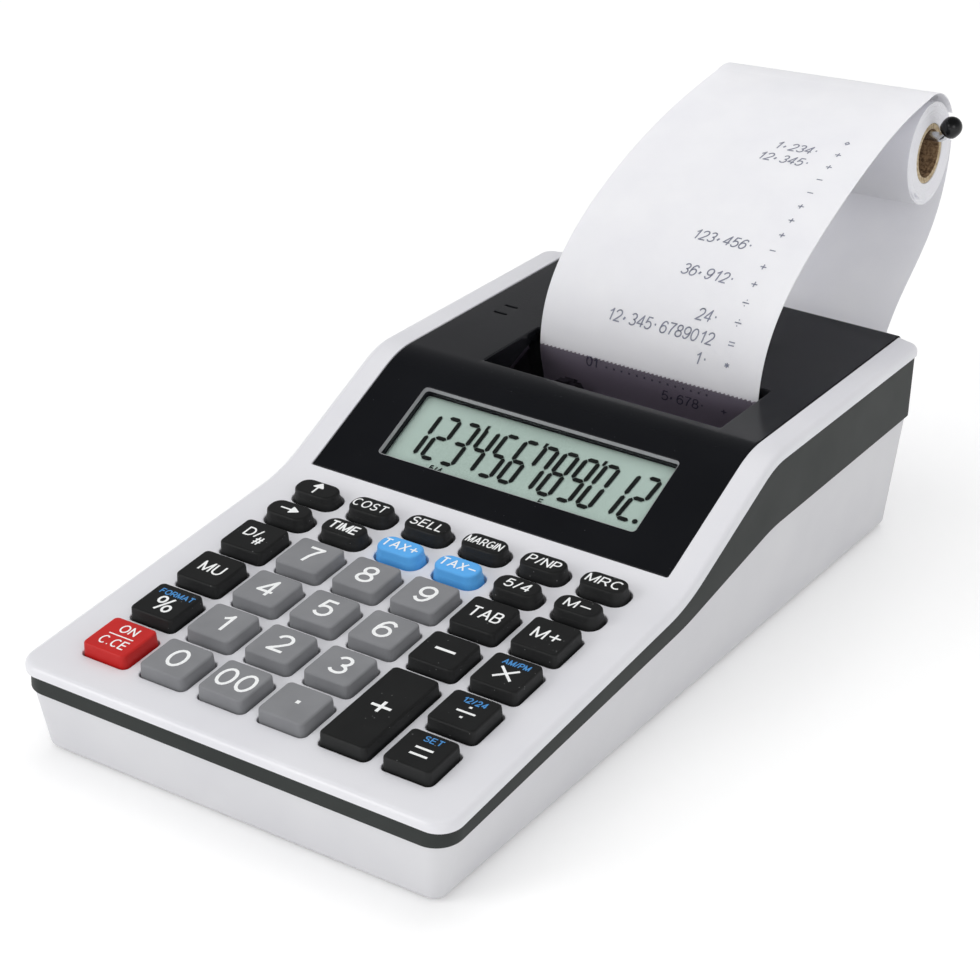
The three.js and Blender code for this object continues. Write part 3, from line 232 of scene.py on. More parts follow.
def moulded(name, light, dark, rough, grain=0.45, depth=0.006, coat=0.0, ior=1.54, gloss=0.5):
    """A moulded plastic: clouds of flow 22 mm wide, a grain in mm, and a sheen worn every 9 mm."""
    material, tree, place = new_material(name)
    clouds = add_node(tree, "ShaderNodeTexNoise", {"Vector": place, "Scale": 45, "Detail": 3})
    tone = add_node(tree, "ShaderNodeValToRGB", {"Fac": clouds}, [(0.3, dark), (0.7, light)])
    pits = add_node(tree, "ShaderNodeTexNoise", {"Vector": place, "Scale": 1000 / grain, "Detail": 2})
    bump = add_node(tree, "ShaderNodeBump", {"Height": pits, "Strength": 0.5, "Distance": depth / 1000})
    worn = add_node(tree, "ShaderNodeTexNoise", {"Vector": place, "Scale": 110, "Detail": 4})
    limits = {"To Min": rough - 0.05, "To Max": rough + 0.06}
    sheen = add_node(tree, "ShaderNodeMapRange", {"Value": worn, **limits})
    shader = add_node(
        tree,
        "ShaderNodeBsdfPrincipled",
        {
            "Base Color": tone,
            "Roughness": sheen,
            "IOR": ior,
            "Specular IOR Level": gloss,
            "Coat Weight": coat,
            "Coat Roughness": 0.12,
            "Normal": bump,
        },
    )
    add_node(tree, "ShaderNodeOutputMaterial", {"Surface": shader})
    return material


# Pale ABS with an eroded skin: light grey, satin, softly broken highlights
pale_abs = moulded("pale_abs_eroded", "#D9D9DC", "#D3D3D7", 0.42)

top_line = side_line(top_knots, top_blends)
lip_line = side_line(lowered(top_knots, cover_thick), top_blends)
band_line = side_line(band_knots, band_blends)
rear_radius = 3.0


def tub_ring(at_rim, inset, height):
    """A ring of the tub, at its rim or at its narrower base."""
    if at_rim:
        return plan_ring(case_half - 1.2, 1.2, case_depth - 0.7, 4.8, rear_radius, inset, height)
    return plan_ring(case_half - 3.7, 3.5, case_depth - 0.7, 3.0, rear_radius, inset, height)


tub_edge = 1.5
tub_rings = [
    tub_ring(
        False,
        tub_edge * (1 - math.sin(t)),
        lambda y, t=t: foot_height + tub_edge * (1 - math.cos(t)),
    )
    for t in quarter(6)
]
tub_rings.append(tub_ring(True, 0, lambda y: band_line(y) - seam))
tub_rings.append(tub_ring(True, wall, lambda y: band_line(y) - seam))
tub_rings.append(tub_ring(False, wall, lambda y: foot_height + wall))
bottom_case = piece("tub", [loft(tub_rings)], [pale_abs])

door_half, door_front, door_back = 31.85, 66.5, 124.0
door_gap, door_travel = 0.3, 3.0
bay_half, bay_front, bay_back = 28.85, 69.2, 121.3
foot_half, foot_deep = 31.0, 6.0
foot_places = {"front_foot": 13.75, "rear_foot": 187.1}
slot_height, slot_opening = 18.0, 3.2
strip_middle, strip_width = 4.3, 56.6
slot_low, slot_high = strip_middle - strip_width / 2 - 2, strip_middle + strip_width / 2 + 2
openings = [
    block(
        (-door_half - door_gap, door_front - door_travel - door_gap, -0.4),
        (door_half + door_gap, door_back + door_gap, 2.1),
    ),
    block((-bay_half, bay_front, 0.6), (bay_half, bay_back, 3.6)),
    block(
        (slot_low, 193, slot_height - slot_opening / 2),
        (slot_high, 198, slot_height + slot_opening / 2),
    ),
]
for y in foot_places.values():
    bed = (foot_half + door_gap, foot_deep / 2 + door_gap)
    openings.append(block((-bed[0], y - bed[1], -0.4), (bed[0], y + bed[1], foot_height + 0.8)))
cut_out(bottom_case, openings)
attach(bottom_case, "case")
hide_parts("bottom_case")


def inward(loop):
    """For each point of a flat loop, how a point moves to keep a unit distance inside its edge."""
    moves = []
    for i, (u, v, *_) in enumerate(loop):
        before, after = loop[i - 1], loop[(i + 1) % len(loop)]
        first = Vector((before[1] - v, u - before[0])).normalized()
        second = Vector((v - after[1], after[0] - u)).normalized()
        moves.append((first + second) / max(1 + first.dot(second), 0.3))
    return moves


def flat_fill(loops, extra=()):
    """Triangles inside the first loop and outside the others, over their points and extra ones."""
    points, rings = [], []
    for number, loop in enumerate(loops):
        ring = list(range(len(points), len(points) + len(loop)))
        rings.append(ring if number == 0 else ring[::-1])
        points += [Vector(p) for p in loop]
    points += [Vector(p) for p in extra]
    flat, _, faces, _, _, origins = delaunay_2d_cdt(points, [], rings, 0, 1e-6)
    kept = [tuple(face) for face, origin in zip(faces, origins) if list(origin) == [0]]
    return [tuple(p) for p in flat], kept


def slab(outline, holes, place, depth, extra=(), steps=4):
    """A closed plate. Its loops hold (u, v, edge radius), holes clockwise; place(u, v, drop) sets it."""
    shells, rims, feet = [], [], []
    for loop in [outline] + holes:
        moves = inward(loop)
        rings = []
        for turn in quarter(steps):
            inset, drop = 1 - math.sin(turn), 1 - math.cos(turn)
            rings.append(
                [(u + m.x * r * inset, v + m.y * r * inset, r * drop) for (u, v, r), m in zip(loop, moves)]
            )
        rings.append([(u, v, depth) for u, v, _ in loop])
        rims.append([(u, v) for u, v, _ in rings[0]])
        feet.append([(u, v) for u, v, _ in loop])
        shells.append(loft([[place(*p) for p in ring] for ring in rings], capped=False))
    for loops, drop in ((rims, 0), (feet, depth)):
        flat, faces = flat_fill(loops, extra)
        shells.append(([place(u, v, drop) for u, v in flat], faces))
    return joined(shells)


def rounded(corners, steps=8):
    """A loop through corners (u, v, corner radius, edge radius), each corner turned as an arc."""
    loop = []
    for i, (u, v, radius, edge) in enumerate(corners):
        corner = Vector((u, v))
        before = (Vector(corners[i - 1][:2]) - corner).normalized()
        after = (Vector(corners[(i + 1) % len(corners)][:2]) - corner).normalized()
        half = before.angle(after) / 2
        centre = corner + (before + after).normalized() * radius / math.sin(half)
        start = corner + before * radius / math.tan(half) - centre
        end = corner + after * radius / math.tan(half) - centre
        for k in range(steps + 1):
            share = k / steps
            angle = start.angle_signed(end) * -share
            spoke = start.copy()
            spoke.rotate(Matrix.Rotation(angle, 2))
            loop.append((centre.x + spoke.x, centre.y + spoke.y, edge))
    return loop


def stepped(loop, stops):
    """The same loop with points added where its long edges pass these places along v."""
    whole = []
    for (u, v, edge), (next_u, next_v, next_edge) in zip(loop, loop[1:] + loop[:1]):
        whole.append((u, v, edge))
        passed = [stop for stop in stops if min(v, next_v) + 0.05 < stop < max(v, next_v) - 0.05]
        for stop in sorted(passed, reverse=next_v < v):
            part = (stop - v) / (next_v - v)
            whole.append((u + (next_u - u) * part, stop, edge + (next_edge - edge) * part))
    return whole


def rectangle(u, v, half_u, half_v, radius, edge, hole=False, steps=8):
    """A rounded rectangle as a loop, clockwise where it is a hole."""
    corners = [
        (u - half_u, v - half_v, radius, edge),
        (u + half_u, v - half_v, radius, edge),
        (u + half_u, v + half_v, radius, edge),
        (u - half_u, v + half_v, radius, edge),
    ]
    loop = rounded(corners, steps)
    return loop[::-1] if hole else loop


# Five posts and the arm's ear, moulded in one with the tub
keyboard_tilt = math.atan2(knee_height - lip_height, knee)
hinge_y, hinge_z = 199.1, 24.6
ear_low, ear_high = -36.6, -31.6
ear_outline = rectangle(197.85, hinge_z, 3.75, 2.5, 0.8, 0.25)
ear_bore = [(u, v, 0.2) for u, v in reversed(circle(hinge_y, hinge_z, 1.45, 32))]
fittings = [slab(ear_outline, [ear_bore], lambda u, v, d: (ear_high - d, u, v), ear_high - ear_low)]
post_radius, board_drop = 1.8, 8.6
for x, y in ((-41.8, 10), (-41.8, 84), (0, 10), (41.8, 10), (41.8, 84)):
    top = lip_height + y * math.tan(keyboard_tilt) - board_drop
    fittings.append(loft([[(*p, z) for p in circle(x, y, post_radius, 24)] for z in (1.6, top)]))
case_fittings = piece("tub_fittings", fittings, [pale_abs])
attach(case_fittings, "case")

# Feet and battery door
# The feet are strips of black rubber, die cut with pressed ribs and glued into shallow beds.
# The door is a plate of the same pale ABS that slides forward over the cells.

# Pressed rubber: near black and dead matt, with crumbs half a millimetre wide
foot_rubber, tree, place = new_material("black_foot_rubber")
crumb = add_node(tree, "ShaderNodeTexNoise", {"Vector": place, "Scale": 2200, "Detail": 3})
tone = add_node(tree, "ShaderNodeValToRGB", {"Fac": crumb}, [(0.3, "#202021"), (0.7, "#2C2C2D")])
bump = add_node(tree, "ShaderNodeBump", {"Height": crumb, "Strength": 0.6, "Distance": 0.00004})
skin = {"Base Color": tone, "Roughness": 0.82, "IOR": 1.52, "Normal": bump}
shader = add_node(tree, "ShaderNodeBsdfPrincipled", skin)
add_node(tree, "ShaderNodeOutputMaterial", {"Surface": shader})
foot_sole = 0.12
for name, y in foot_places.items():
    outline = rectangle(0, y, foot_half, foot_deep / 2, 1.2, 0.25)
    shells = [slab(outline, [], lambda u, v, d: (u, v, foot_sole + d), 0.98)]
    for i in range(4):
        rib = rectangle(0, y - 1.95 + 1.3 * i, foot_half - 1.5, 0.35, 0.3, 0.1, steps=4)
        shells.append(slab(rib, [], lambda u, v, d: (u, v, d), 0.3, steps=2))
    foot = piece(name + "_strip", shells, [foot_rubber])
    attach(foot, "case")
    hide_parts(name)

door_face = foot_height + 0.1
grip = door_front + 5
door_loop = rectangle(0, (door_front + door_back) / 2, door_half, (door_back - door_front) / 2, 1, 0.2)
grip_hole = rectangle(0, grip, 9, 2, 0.8, 0.15, hole=True)
grip_floor = rectangle(0, grip, 9.1, 2.1, 0.5, 0.05)
door_shells = [
    slab(door_loop, [grip_hole], lambda u, v, d: (u, v, door_face + d), 1.1),
    slab(grip_floor, [], lambda u, v, d: (u, v, door_face + 0.5 + d), 0.55),
]
for i in range(5):
    ridge = rectangle(0, grip - 1.4 + 0.7 * i, 7.5, 0.16, 0.15, 0.06, steps=3)
    door_shells.append(slab(ridge, [], lambda u, v, d: (u, v, door_face + 0.05 + d), 0.55, steps=2))
battery_door = piece("sliding_battery_door", door_shells, [pale_abs])
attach(battery_door, "battery_door")
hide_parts("battery_door")

# Middle band
# A ring of charcoal ABS that closes the gap between the tub and the cover, moulded with the same
# eroded skin and clipped between them.

# Charcoal ABS: flat dark grey that hardly mirrors
charcoal_abs = moulded("charcoal_abs_eroded", "#353837", "#303332", 0.5, gloss=0.12)


def band_ring(inset, height):
    """A ring of the band."""
    return plan_ring(case_half - 0.6, 0.6, case_depth - 0.2, 5.6, rear_radius, inset, height)


band_rings = [
    band_ring(0.12, band_line),
    band_ring(0, lambda y: band_line(y) + 0.12),
    band_ring(0, lambda y: lip_line(y) - seam),
    band_ring(wall, lambda y: lip_line(y) - seam),
    band_ring(wall, band_line),
]
middle_band = piece("charcoal_band", [loft(band_rings, closed=True)], [charcoal_abs])
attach(middle_band, "case")
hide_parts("middle_band")

# Main board, key mat, ribbon and cells
# The board is glass-fibre laminate under green solder mask, the mat moulded silicone, the ribbon
# printed polyester and the four cells steel cans in a printed wrap. They keep their CAD meshes.

# Solder mask: satin green over a glass weave with a 4 mm repeat, coarse enough to show
board_mask, tree, place = new_material("green_solder_mask")
weave = add_node(
    tree,
    "ShaderNodeTexBrick",
    {
        "Vector": place,
        "Color1": linear("#1F5C3A"),
        "Color2": linear("#1B5434"),
        "Mortar": linear("#2F7A50"),
        "Scale": 260,
        "Mortar Size": 0.03,
    },
)
bump = add_node(
    tree, "ShaderNodeBump", {"Height": weave.outputs["Fac"], "Strength": 0.4, "Distance": 0.00003}
)
skin = {"Base Color": weave, "Roughness": 0.38, "IOR": 1.5, "Normal": bump}
shader = add_node(tree, "ShaderNodeBsdfPrincipled", skin)
add_node(tree, "ShaderNodeOutputMaterial", {"Surface": shader})


def carried(node, material):
    """A CAD node keeps its mesh and takes this material."""
    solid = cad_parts[node]
    for spot in solid.material_slots:
        spot.material = material


# Milky silicone: matte, faintly clouded
milky_silicone = moulded("milky_silicone", "#D3D6D3", "#C8CCC8", 0.68, grain=0.8, ior=1.41)
# Amber polyester film with printed conductors
ribbon_film = moulded("polyester_ribbon", "#B98A4C", "#A87A40", 0.35, grain=0.6, ior=1.6)
carried("main_board", board_mask)
carried("key_mat", milky_silicone)
carried("lcd_ribbon", ribbon_film)


def metal(name, light, dark, rough, stretch, line=0.3, depth=0.004):
    """A worked metal: fine lines along one axis, spaced in mm, over slightly uneven tone."""
    material, tree, place = new_material(name)
    squeezed = add_node(tree, "ShaderNodeMapping", {"Vector": place, "Scale": stretch})
    lines = add_node(tree, "ShaderNodeTexNoise", {"Vector": squeezed, "Scale": 1000 / line, "Detail": 3})
    tone = add_node(tree, "ShaderNodeValToRGB", {"Fac": lines}, [(0.3, dark), (0.7, light)])
    bump = add_node(tree, "ShaderNodeBump", {"Height": lines, "Strength": 0.5, "Distance": depth / 1000})
    limits = {"To Min": rough - 0.05, "To Max": rough + 0.08}
    sheen = add_node(tree, "ShaderNodeMapRange", {"Value": lines, **limits})
    skin = {"Base Color": tone, "Metallic": 1.0, "Roughness": sheen, "Normal": bump}
    shader = add_node(tree, "ShaderNodeBsdfPrincipled", skin)
    add_node(tree, "ShaderNodeOutputMaterial", {"Surface": shader})
    return material


# Cell cans: satin aluminium-like wrap with lines round the can
cell_wrap = metal("cell_wrap_foil", "#A9ACB0", "#8E9195", 0.38, (0.2, 1, 0.2))
carried("battery_cells", cell_wrap)

# Printer
# A folded frame of zinc-plated steel sheet carries a rubber platen, a nylon type wheel, a felt ink
# roller and a small motor in a drawn steel can. They keep their CAD meshes.

# Zinc plate and drawn steel: cool grey metal, its lines along the way that it was worked
zinc_sheet = metal("zinc_plated_sheet", "#B4B7BA", "#8F9396", 0.36, (1, 0.15, 1))
motor_steel = metal("drawn_motor_can", "#B9BBBE", "#9A9DA1", 0.3, (0.15, 1, 1))
# Nylon: dull and dense, charcoal on the inked wheel and creamy on the pinion
dark_nylon = moulded("dark_nylon", "#39393B", "#323234", 0.5, grain=0.6, ior=1.53)
natural_nylon = moulded("natural_nylon", "#E8E4D6", "#DDD8C8", 0.45, grain=0.6, ior=1.53)
# Inked felt: deep violet with no shine, its fibres a third of a millimetre apart
ink_felt, tree, place = new_material("inked_felt")
fibres = add_node(
    tree, "ShaderNodeTexNoise", {"Vector": place, "Scale": 3000, "Detail": 6, "Distortion": 1.5}
)
tone = add_node(tree, "ShaderNodeValToRGB", {"Fac": fibres}, [(0.3, "#221B44"), (0.7, "#3A3266")])
bump = add_node(tree, "ShaderNodeBump", {"Height": fibres, "Strength": 0.9, "Distance": 0.0001})
skin = {"Base Color": tone, "Roughness": 0.95, "Normal": bump}
shader = add_node(tree, "ShaderNodeBsdfPrincipled", skin)
add_node(tree, "ShaderNodeOutputMaterial", {"Surface": shader})
carried("printer_frame", zinc_sheet)
carried("printer_motor", motor_steel)
carried("type_wheel", dark_nylon)
carried("motor_pinion", natural_nylon)
carried("platen_roller", foot_rubber)
carried("ink_roller", ink_felt)

# Top cover
# One plate of white ABS with 35 key holes and two arms beside the display panel, moulded against a
# finer mould than the tub, so it shines more. It snaps over the band on pillars under it.

# White ABS: clean white with a soft shine
white_abs = moulded("white_abs_satin", "#E5E5E9", "#E0E0E5", 0.3, grain=0.35, depth=0.003, coat=0.12)
arm_width = 6.35
panel_half = case_half - arm_width
panel_front = knee + 3.3


def walk(points):
    """A chain of (y, z) points as two functions.

    The first places a point across, along the chain and down into it; the second turns y to distance.
    """
    reach = [0.0]
    for a, b in zip(points, points[1:]):
        reach.append(reach[-1] + math.dist(a, b))
    last = len(points) - 1
    along = []
    for i in range(len(points)):
        a, b = points[max(i - 1, 0)], points[min(i + 1, last)]
        size = math.dist(a, b)
        along.append(((b[0] - a[0]) / size, (b[1] - a[1]) / size))

    def place(x, s, drop):
        i = min(max(bisect(reach, s) - 1, 0), last - 1)
        share = (s - reach[i]) / (reach[i + 1] - reach[i])
        keep = min(max(share, 0), 1)
        y = points[i][0] + (points[i + 1][0] - points[i][0]) * share
        z = points[i][1] + (points[i + 1][1] - points[i][1]) * share
        ty = along[i][0] + (along[i + 1][0] - along[i][0]) * keep
        tz = along[i][1] + (along[i + 1][1] - along[i][1]) * keep
        return x, y + tz * drop, z - ty * drop

    def distance(y):
        i = min(max(bisect([p[0] for p in points], y) - 1, 0), last - 1)
        share = (y - points[i][0]) / (points[i + 1][0] - points[i][0])
        return reach[i] + (reach[i + 1] - reach[i]) * share

    return place, distance


def sampled(height, start, end, step=0.25):
    """Points along a side line."""
    count = round((end - start) / step)
    ys = [start + (end - start) * i / count for i in range(count + 1)]
    return [(y, height(y)) for y in ys]


on_cover, cover_reach = walk(sampled(top_line, 0, case_depth))
cover_end = cover_reach(case_depth)
mouth_half = panel_half + seam
mouth_front = cover_reach(panel_front - seam)
cover_outline = rounded(
    [
        (-case_half, 0, 5, 1.35),
        (case_half, 0, 5, 1.35),
        (case_half, cover_end, 3.5, 1.35),
        (mouth_half, cover_end, 0.5, 0.35),
        (mouth_half, mouth_front, 0.4, 0.3),
        (-mouth_half, mouth_front, 0.4, 0.3),
        (-mouth_half, cover_end, 0.5, 0.35),
        (-case_half, cover_end, 3.5, 1.35),
    ],
    steps=12,
)
cover_outline = stepped(cover_outline, [cover_reach(y) for y in side_places])

column_pitch, row_pitch, key_size = 14.3, 14.45, 11.1
square_corner, small_corner = 1.2, 2.6
small_pitch, small_depth = 10.0, 6.7
first_row, first_small_row = 8.85, 66.6
tall_depth = key_size + row_pitch
square_rows = [
    ["on_clear", "0", "00", "point", "plus", "equals"],
    ["percent", "1", "2", "3", None, "divide"],
    ["markup", "4", "5", "6", "minus", "multiply"],
    ["date", "7", "8", "9", "tab", "memory_plus"],
]
small_rows = [
    ["right", "time", "tax_plus", "tax_minus", "round", "memory_minus"],
    ["up", "cost", "sell", "margin", "print", "memory_recall"],
]
keys = {}
key_blocks = [(square_rows, first_row, row_pitch), (small_rows, first_small_row, small_pitch)]
for rows, front, pitch in key_blocks:
    small = rows is small_rows
    for r, row in enumerate(rows):
        for column, key in enumerate(row):
            deep = small_depth if small else tall_depth if key == "plus" else key_size
            if key:
                keys[key] = ((column - 2.5) * column_pitch, front + r * pitch + deep / 2, deep, small)

hole_gap = 0.25
key_holes = []
for x, s, deep, small in keys.values():
    radius = (small_corner if small else square_corner) + hole_gap
    half = key_size / 2 + hole_gap
    key_holes.append(rectangle(x, s, half, deep / 2 + hole_gap, radius, 0.28, hole=True, steps=6))
# Extra points where the plate bends: four columns in each arm, and rows across the keyboard
arm_columns = [side * (46.5 + 0.9 * k) for side in (-1, 1) for k in range(4)]
bend_grid = [(x, cover_reach(y)) for y in side_places for x in arm_columns]
bend_grid += [
    (x * 3.3, cover_reach(y)) for y in side_places if y < panel_front - 0.8 for x in range(-13, 14)
]
cover_shells = [slab(cover_outline, key_holes, on_cover, cover_thick, bend_grid)]
top_cover = piece("white_cover", cover_shells, [white_abs])
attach(top_cover, "case")
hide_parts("top_cover")


# Keys
# Moulded silicone rubber caps, coloured through, each with a flange under the cover that stops it.
# Their legends are screen printed in white, the second functions in blue.

# Where a mix node keeps its two colours and its mixed one
colour_a, colour_b, colour_out = 6, 7, 2


def rubber(name, light, dark, rough=0.62, specks=False):
    """Silicone rubber: pores 0.6 mm apart, clouds 6 mm wide, and light dust where asked."""
    material, tree, place = new_material(name)
    pores = add_node(tree, "ShaderNodeTexNoise", {"Vector": place, "Scale": 1800, "Detail": 4})
    clouds = add_node(tree, "ShaderNodeTexNoise", {"Vector": place, "Scale": 160, "Detail": 2})
    tone = add_node(tree, "ShaderNodeValToRGB", {"Fac": clouds}, [(0.3, dark), (0.7, light)])
    colour = tone.outputs["Color"]
    if specks:
        dust = add_node(tree, "ShaderNodeTexVoronoi", {"Vector": place, "Scale": 900, "Randomness": 1.0})
        rare = add_node(tree, "ShaderNodeMath", {0: dust, 1: 0.13}, operation="LESS_THAN")
        few = add_node(tree, "ShaderNodeTexNoise", {"Vector": place, "Scale": 420, "Detail": 1})
        patches = add_node(tree, "ShaderNodeMath", {0: few, 1: 0.6}, operation="GREATER_THAN")
        spots = add_node(tree, "ShaderNodeMath", {0: rare, 1: patches}, operation="MULTIPLY")
        specked = {"Factor": spots, colour_a: tone, colour_b: linear("#5A5B5B")}
        colour = add_node(tree, "ShaderNodeMix", specked, data_type="RGBA").outputs[colour_out]
    bump = add_node(tree, "ShaderNodeBump", {"Height": pores, "Strength": 0.5, "Distance": 0.00001})
    limits = {"To Min": rough - 0.06, "To Max": rough + 0.06}
    matte = add_node(tree, "ShaderNodeMapRange", {"Value": clouds, **limits})
    skin = {"Base Color": colour, "Roughness": matte, "IOR": 1.41, "Normal": bump}
    shader = add_node(tree, "ShaderNodeBsdfPrincipled", skin)
    add_node(tree, "ShaderNodeOutputMaterial", {"Surface": shader})
    return material


# Grey, black, red and blue silicone: matte with softly lit bevels
grey_rubber = rubber("grey_silicone", "#86878A", "#7F8083")
black_rubber = rubber("black_silicone", "#1B1C1C", "#161717", 0.58, specks=True)
red_rubber = rubber("red_silicone", "#C71D1A", "#BF1A18", 0.5)
blue_rubber = rubber("blue_silicone", "#5BAEF0", "#54A8EC", 0.5)
key_looks = {"on_clear": (red_rubber, "red_rubber")}
for digit in ("0", "00", "point", "1", "2", "3", "4", "5", "6", "7", "8", "9"):
    key_looks[digit] = (grey_rubber, "grey_rubber")
for tax in ("tax_plus", "tax_minus"):
    key_looks[tax] = (blue_rubber, "blue_rubber")


def on_keyboard(x, s, rise):
    """A place over the keyboard: across, along it from the front lip, and up from it."""
    y = s * math.cos(keyboard_tilt) - rise * math.sin(keyboard_tilt)
    return x, y, lip_height + s * math.sin(keyboard_tilt) + rise * math.cos(keyboard_tilt)


def key_ring(key, inset, rise):
    """A rounded outline of a key cap, drawn in by an inset, at one height."""
    x, s, deep, small = keys[key]
    radius = max((small_corner if small else square_corner) - inset * 0.5, 0.5)
    loop = rectangle(x, s, key_size / 2 - inset, deep / 2 - inset, radius, 0)
    return [on_keyboard(u, v, rise) for u, v, _ in loop]


bevel = 0.5
square_rise, small_rise = 2.75, 2.85
square_draft, small_draft = 0.22, 0.52
flange, flange_low, flange_high = -0.6, -3.4, -2.5
for key, (x, s, deep, small) in keys.items():
    rings = [key_ring(key, flange, flange_low), key_ring(key, flange, flange_high)]
    rings.append(key_ring(key, 0, flange_high))
    rise, draft = (small_rise, small_draft) if small else (square_rise, square_draft)
    if small:
        rings += [key_ring(key, *step) for step in ((0.3, 0.8), (0.36, 1.1), (0.46, 1.3))]
    rings += [
        key_ring(key, draft + bevel * (1 - math.cos(t)), rise - bevel * (1 - math.sin(t)))
        for t in quarter(4)
    ]
    look, slot = key_looks.get(key, (black_rubber, "black_rubber"))
    cap = piece("cap_" + key, [loft(rings)], [look], sharp=50)
    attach(cap, "key_" + key)
    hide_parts("key_" + key)


def arc(x, y, wide, tall, start, end):
    """Points of an elliptic arc, in degrees, for a stroke."""
    count = max(3, round(abs(end - start) / 22.5))
    turns = [math.radians(start + (end - start) * k / count) for k in range(count + 1)]
    return [(x + wide * math.cos(t), y + tall * math.sin(t)) for t in turns]


bowl = [(0, 0), (0, 1), (0.34, 1)] + arc(0.34, 0.73, 0.25, 0.27, 90, -90) + [(0, 0.46)]
# Plain strokes for each sign: its width, then its strokes, on a height of one
signs = {
    "0": (0.6, [arc(0.3, 0.5, 0.3, 0.5, 0, 360)]),
    "1": (0.34, [[(0.02, 0.74), (0.16, 0.82), (0.27, 0.93), (0.31, 1), (0.31, 0)]]),
    "2": (0.6, [arc(0.3, 0.71, 0.28, 0.29, 170, -35) + [(0.3, 0.28), (0.0, 0.0), (0.6, 0.0)]]),
    "3": (0.58, [arc(0.28, 0.75, 0.25, 0.25, 160, -90), arc(0.28, 0.25, 0.29, 0.25, 90, -160)]),
    "4": (0.62, [[(0.45, 0), (0.45, 1), (0, 0.27), (0.62, 0.27)]]),
    "5": (0.6, [[(0.54, 1), (0.13, 1), (0.05, 0.5)] + arc(0.29, 0.32, 0.3, 0.32, 145, -155)]),
    "6": (0.6, [arc(0.3, 0.31, 0.29, 0.31, 0, 360), arc(0.34, 0.42, 0.33, 0.58, 188, 42)]),
    "7": (0.58, [[(0, 1), (0.58, 1), (0.41, 0.74), (0.27, 0.42), (0.2, 0)]]),
    "8": (0.6, [arc(0.3, 0.76, 0.24, 0.24, 0, 360), arc(0.3, 0.26, 0.29, 0.26, 0, 360)]),
    "9": (0.6, [arc(0.3, 0.69, 0.29, 0.31, 0, 360), arc(0.26, 0.58, 0.33, 0.58, 8, -138)]),
    "A": (0.72, [[(0, 0), (0.36, 1), (0.72, 0)], [(0.13, 0.35), (0.59, 0.35)]]),
    "B": (0.62, [[(0, 0), (0, 1), (0.34, 1)] + arc(0.34, 0.77, 0.22, 0.23, 90, -90) + [(0, 0.54)],
                 [(0.36, 0.54)] + arc(0.36, 0.27, 0.26, 0.27, 90, -90) + [(0, 0)]]),
    "C": (0.7, [arc(0.38, 0.5, 0.37, 0.5, 48, 312)]),
    "D": (0.68, [[(0, 0), (0, 1), (0.3, 1)] + arc(0.3, 0.5, 0.38, 0.5, 90, -90) + [(0, 0)]]),
    "E": (0.58, [[(0.56, 1), (0, 1), (0, 0), (0.58, 0)], [(0, 0.53), (0.52, 0.53)]]),
    "F": (0.55, [[(0.55, 1), (0, 1), (0, 0)], [(0, 0.53), (0.48, 0.53)]]),
    "G": (0.74, [arc(0.39, 0.5, 0.37, 0.5, 48, 325) + [(0.73, 0.24), (0.73, 0.48), (0.42, 0.48)]]),
    "I": (0.02, [[(0, 0), (0, 1)]]),
    "L": (0.5, [[(0, 1), (0, 0), (0.5, 0)]]),
    "M": (0.74, [[(0, 0), (0, 1), (0.37, 0.06), (0.74, 1), (0.74, 0)]]),
    "N": (0.64, [[(0, 0), (0, 1), (0.64, 0), (0.64, 1)]]),
    "O": (0.78, [arc(0.39, 0.5, 0.39, 0.5, 0, 360)]),
    "P": (0.6, [bowl]),
    "R": (0.64, [bowl, [(0.34, 0.46), (0.64, 0)]]),
    "S": (0.6, [arc(0.31, 0.75, 0.26, 0.25, 20, 245) + arc(0.3, 0.25, 0.29, 0.25, 65, -160)]),
    "T": (0.66, [[(0, 1), (0.66, 1)], [(0.33, 1), (0.33, 0)]]),
    "U": (0.64, [[(0, 1)] + arc(0.32, 0.33, 0.32, 0.33, 180, 360) + [(0.64, 1)]]),
    "X": (0.62, [[(0, 0), (0.62, 1)], [(0, 1), (0.62, 0)]]),
    "#": (0.66, [[(0.12, 0), (0.25, 1)], [(0.42, 0), (0.55, 1)], [(0.02, 0.68), (0.66, 0.68)],
                 [(0, 0.34), (0.64, 0.34)]]),
    "/": (0.3, [[(0, 0), (0.3, 1)]]),
    "%": (0.92, [arc(0.18, 0.76, 0.17, 0.23, 0, 360), arc(0.74, 0.24, 0.17, 0.23, 0, 360),
                 [(0.24, 0), (0.68, 1)]]),
    "+": (0.72, [[(0, 0.5), (0.72, 0.5)], [(0.36, 0.14), (0.36, 0.86)]]),
    "-": (0.72, [[(0, 0.5), (0.72, 0.5)]]),
    "=": (0.72, [[(0, 0.69), (0.72, 0.69)], [(0, 0.31), (0.72, 0.31)]]),
    "x": (0.8, [[(0, 0.08), (0.8, 0.92)], [(0, 0.92), (0.8, 0.08)]]),
    ":": (0.8, [[(0, 0.5), (0.8, 0.5)], [(0.34, 0.87), (0.46, 0.87)], [(0.34, 0.13), (0.46, 0.13)]]),
    ".": (0.1, [[(0, 0.05), (0.1, 0.05)]]),
    ",": (0.1, [[(0.07, 0.04), (0, -0.14)]]),
    "o": (0.5, [[(0.25, 0.2), (0.5, 0.5), (0.25, 0.8), (0, 0.5), (0.25, 0.2)]]),
    "*": (0.56, [[(0.28, 0.2), (0.28, 0.8)], [(0.02, 0.35), (0.54, 0.65)],
                 [(0.02, 0.65), (0.54, 0.35)]]),
    ">": (1.0, [[(0, 0.5), (0.8, 0.5)], [(0.62, 0.74), (1, 0.5), (0.62, 0.26), (0.62, 0.74)],
                [(0.68, 0.62), (0.9, 0.5), (0.68, 0.38), (0.68, 0.62)]]),
    "^": (0.48, [[(0.24, 0), (0.24, 0.8)], [(0, 0.62), (0.24, 1), (0.48, 0.62), (0, 0.62)],
                 [(0.12, 0.68), (0.24, 0.9), (0.36, 0.68), (0.12, 0.68)]]),
}


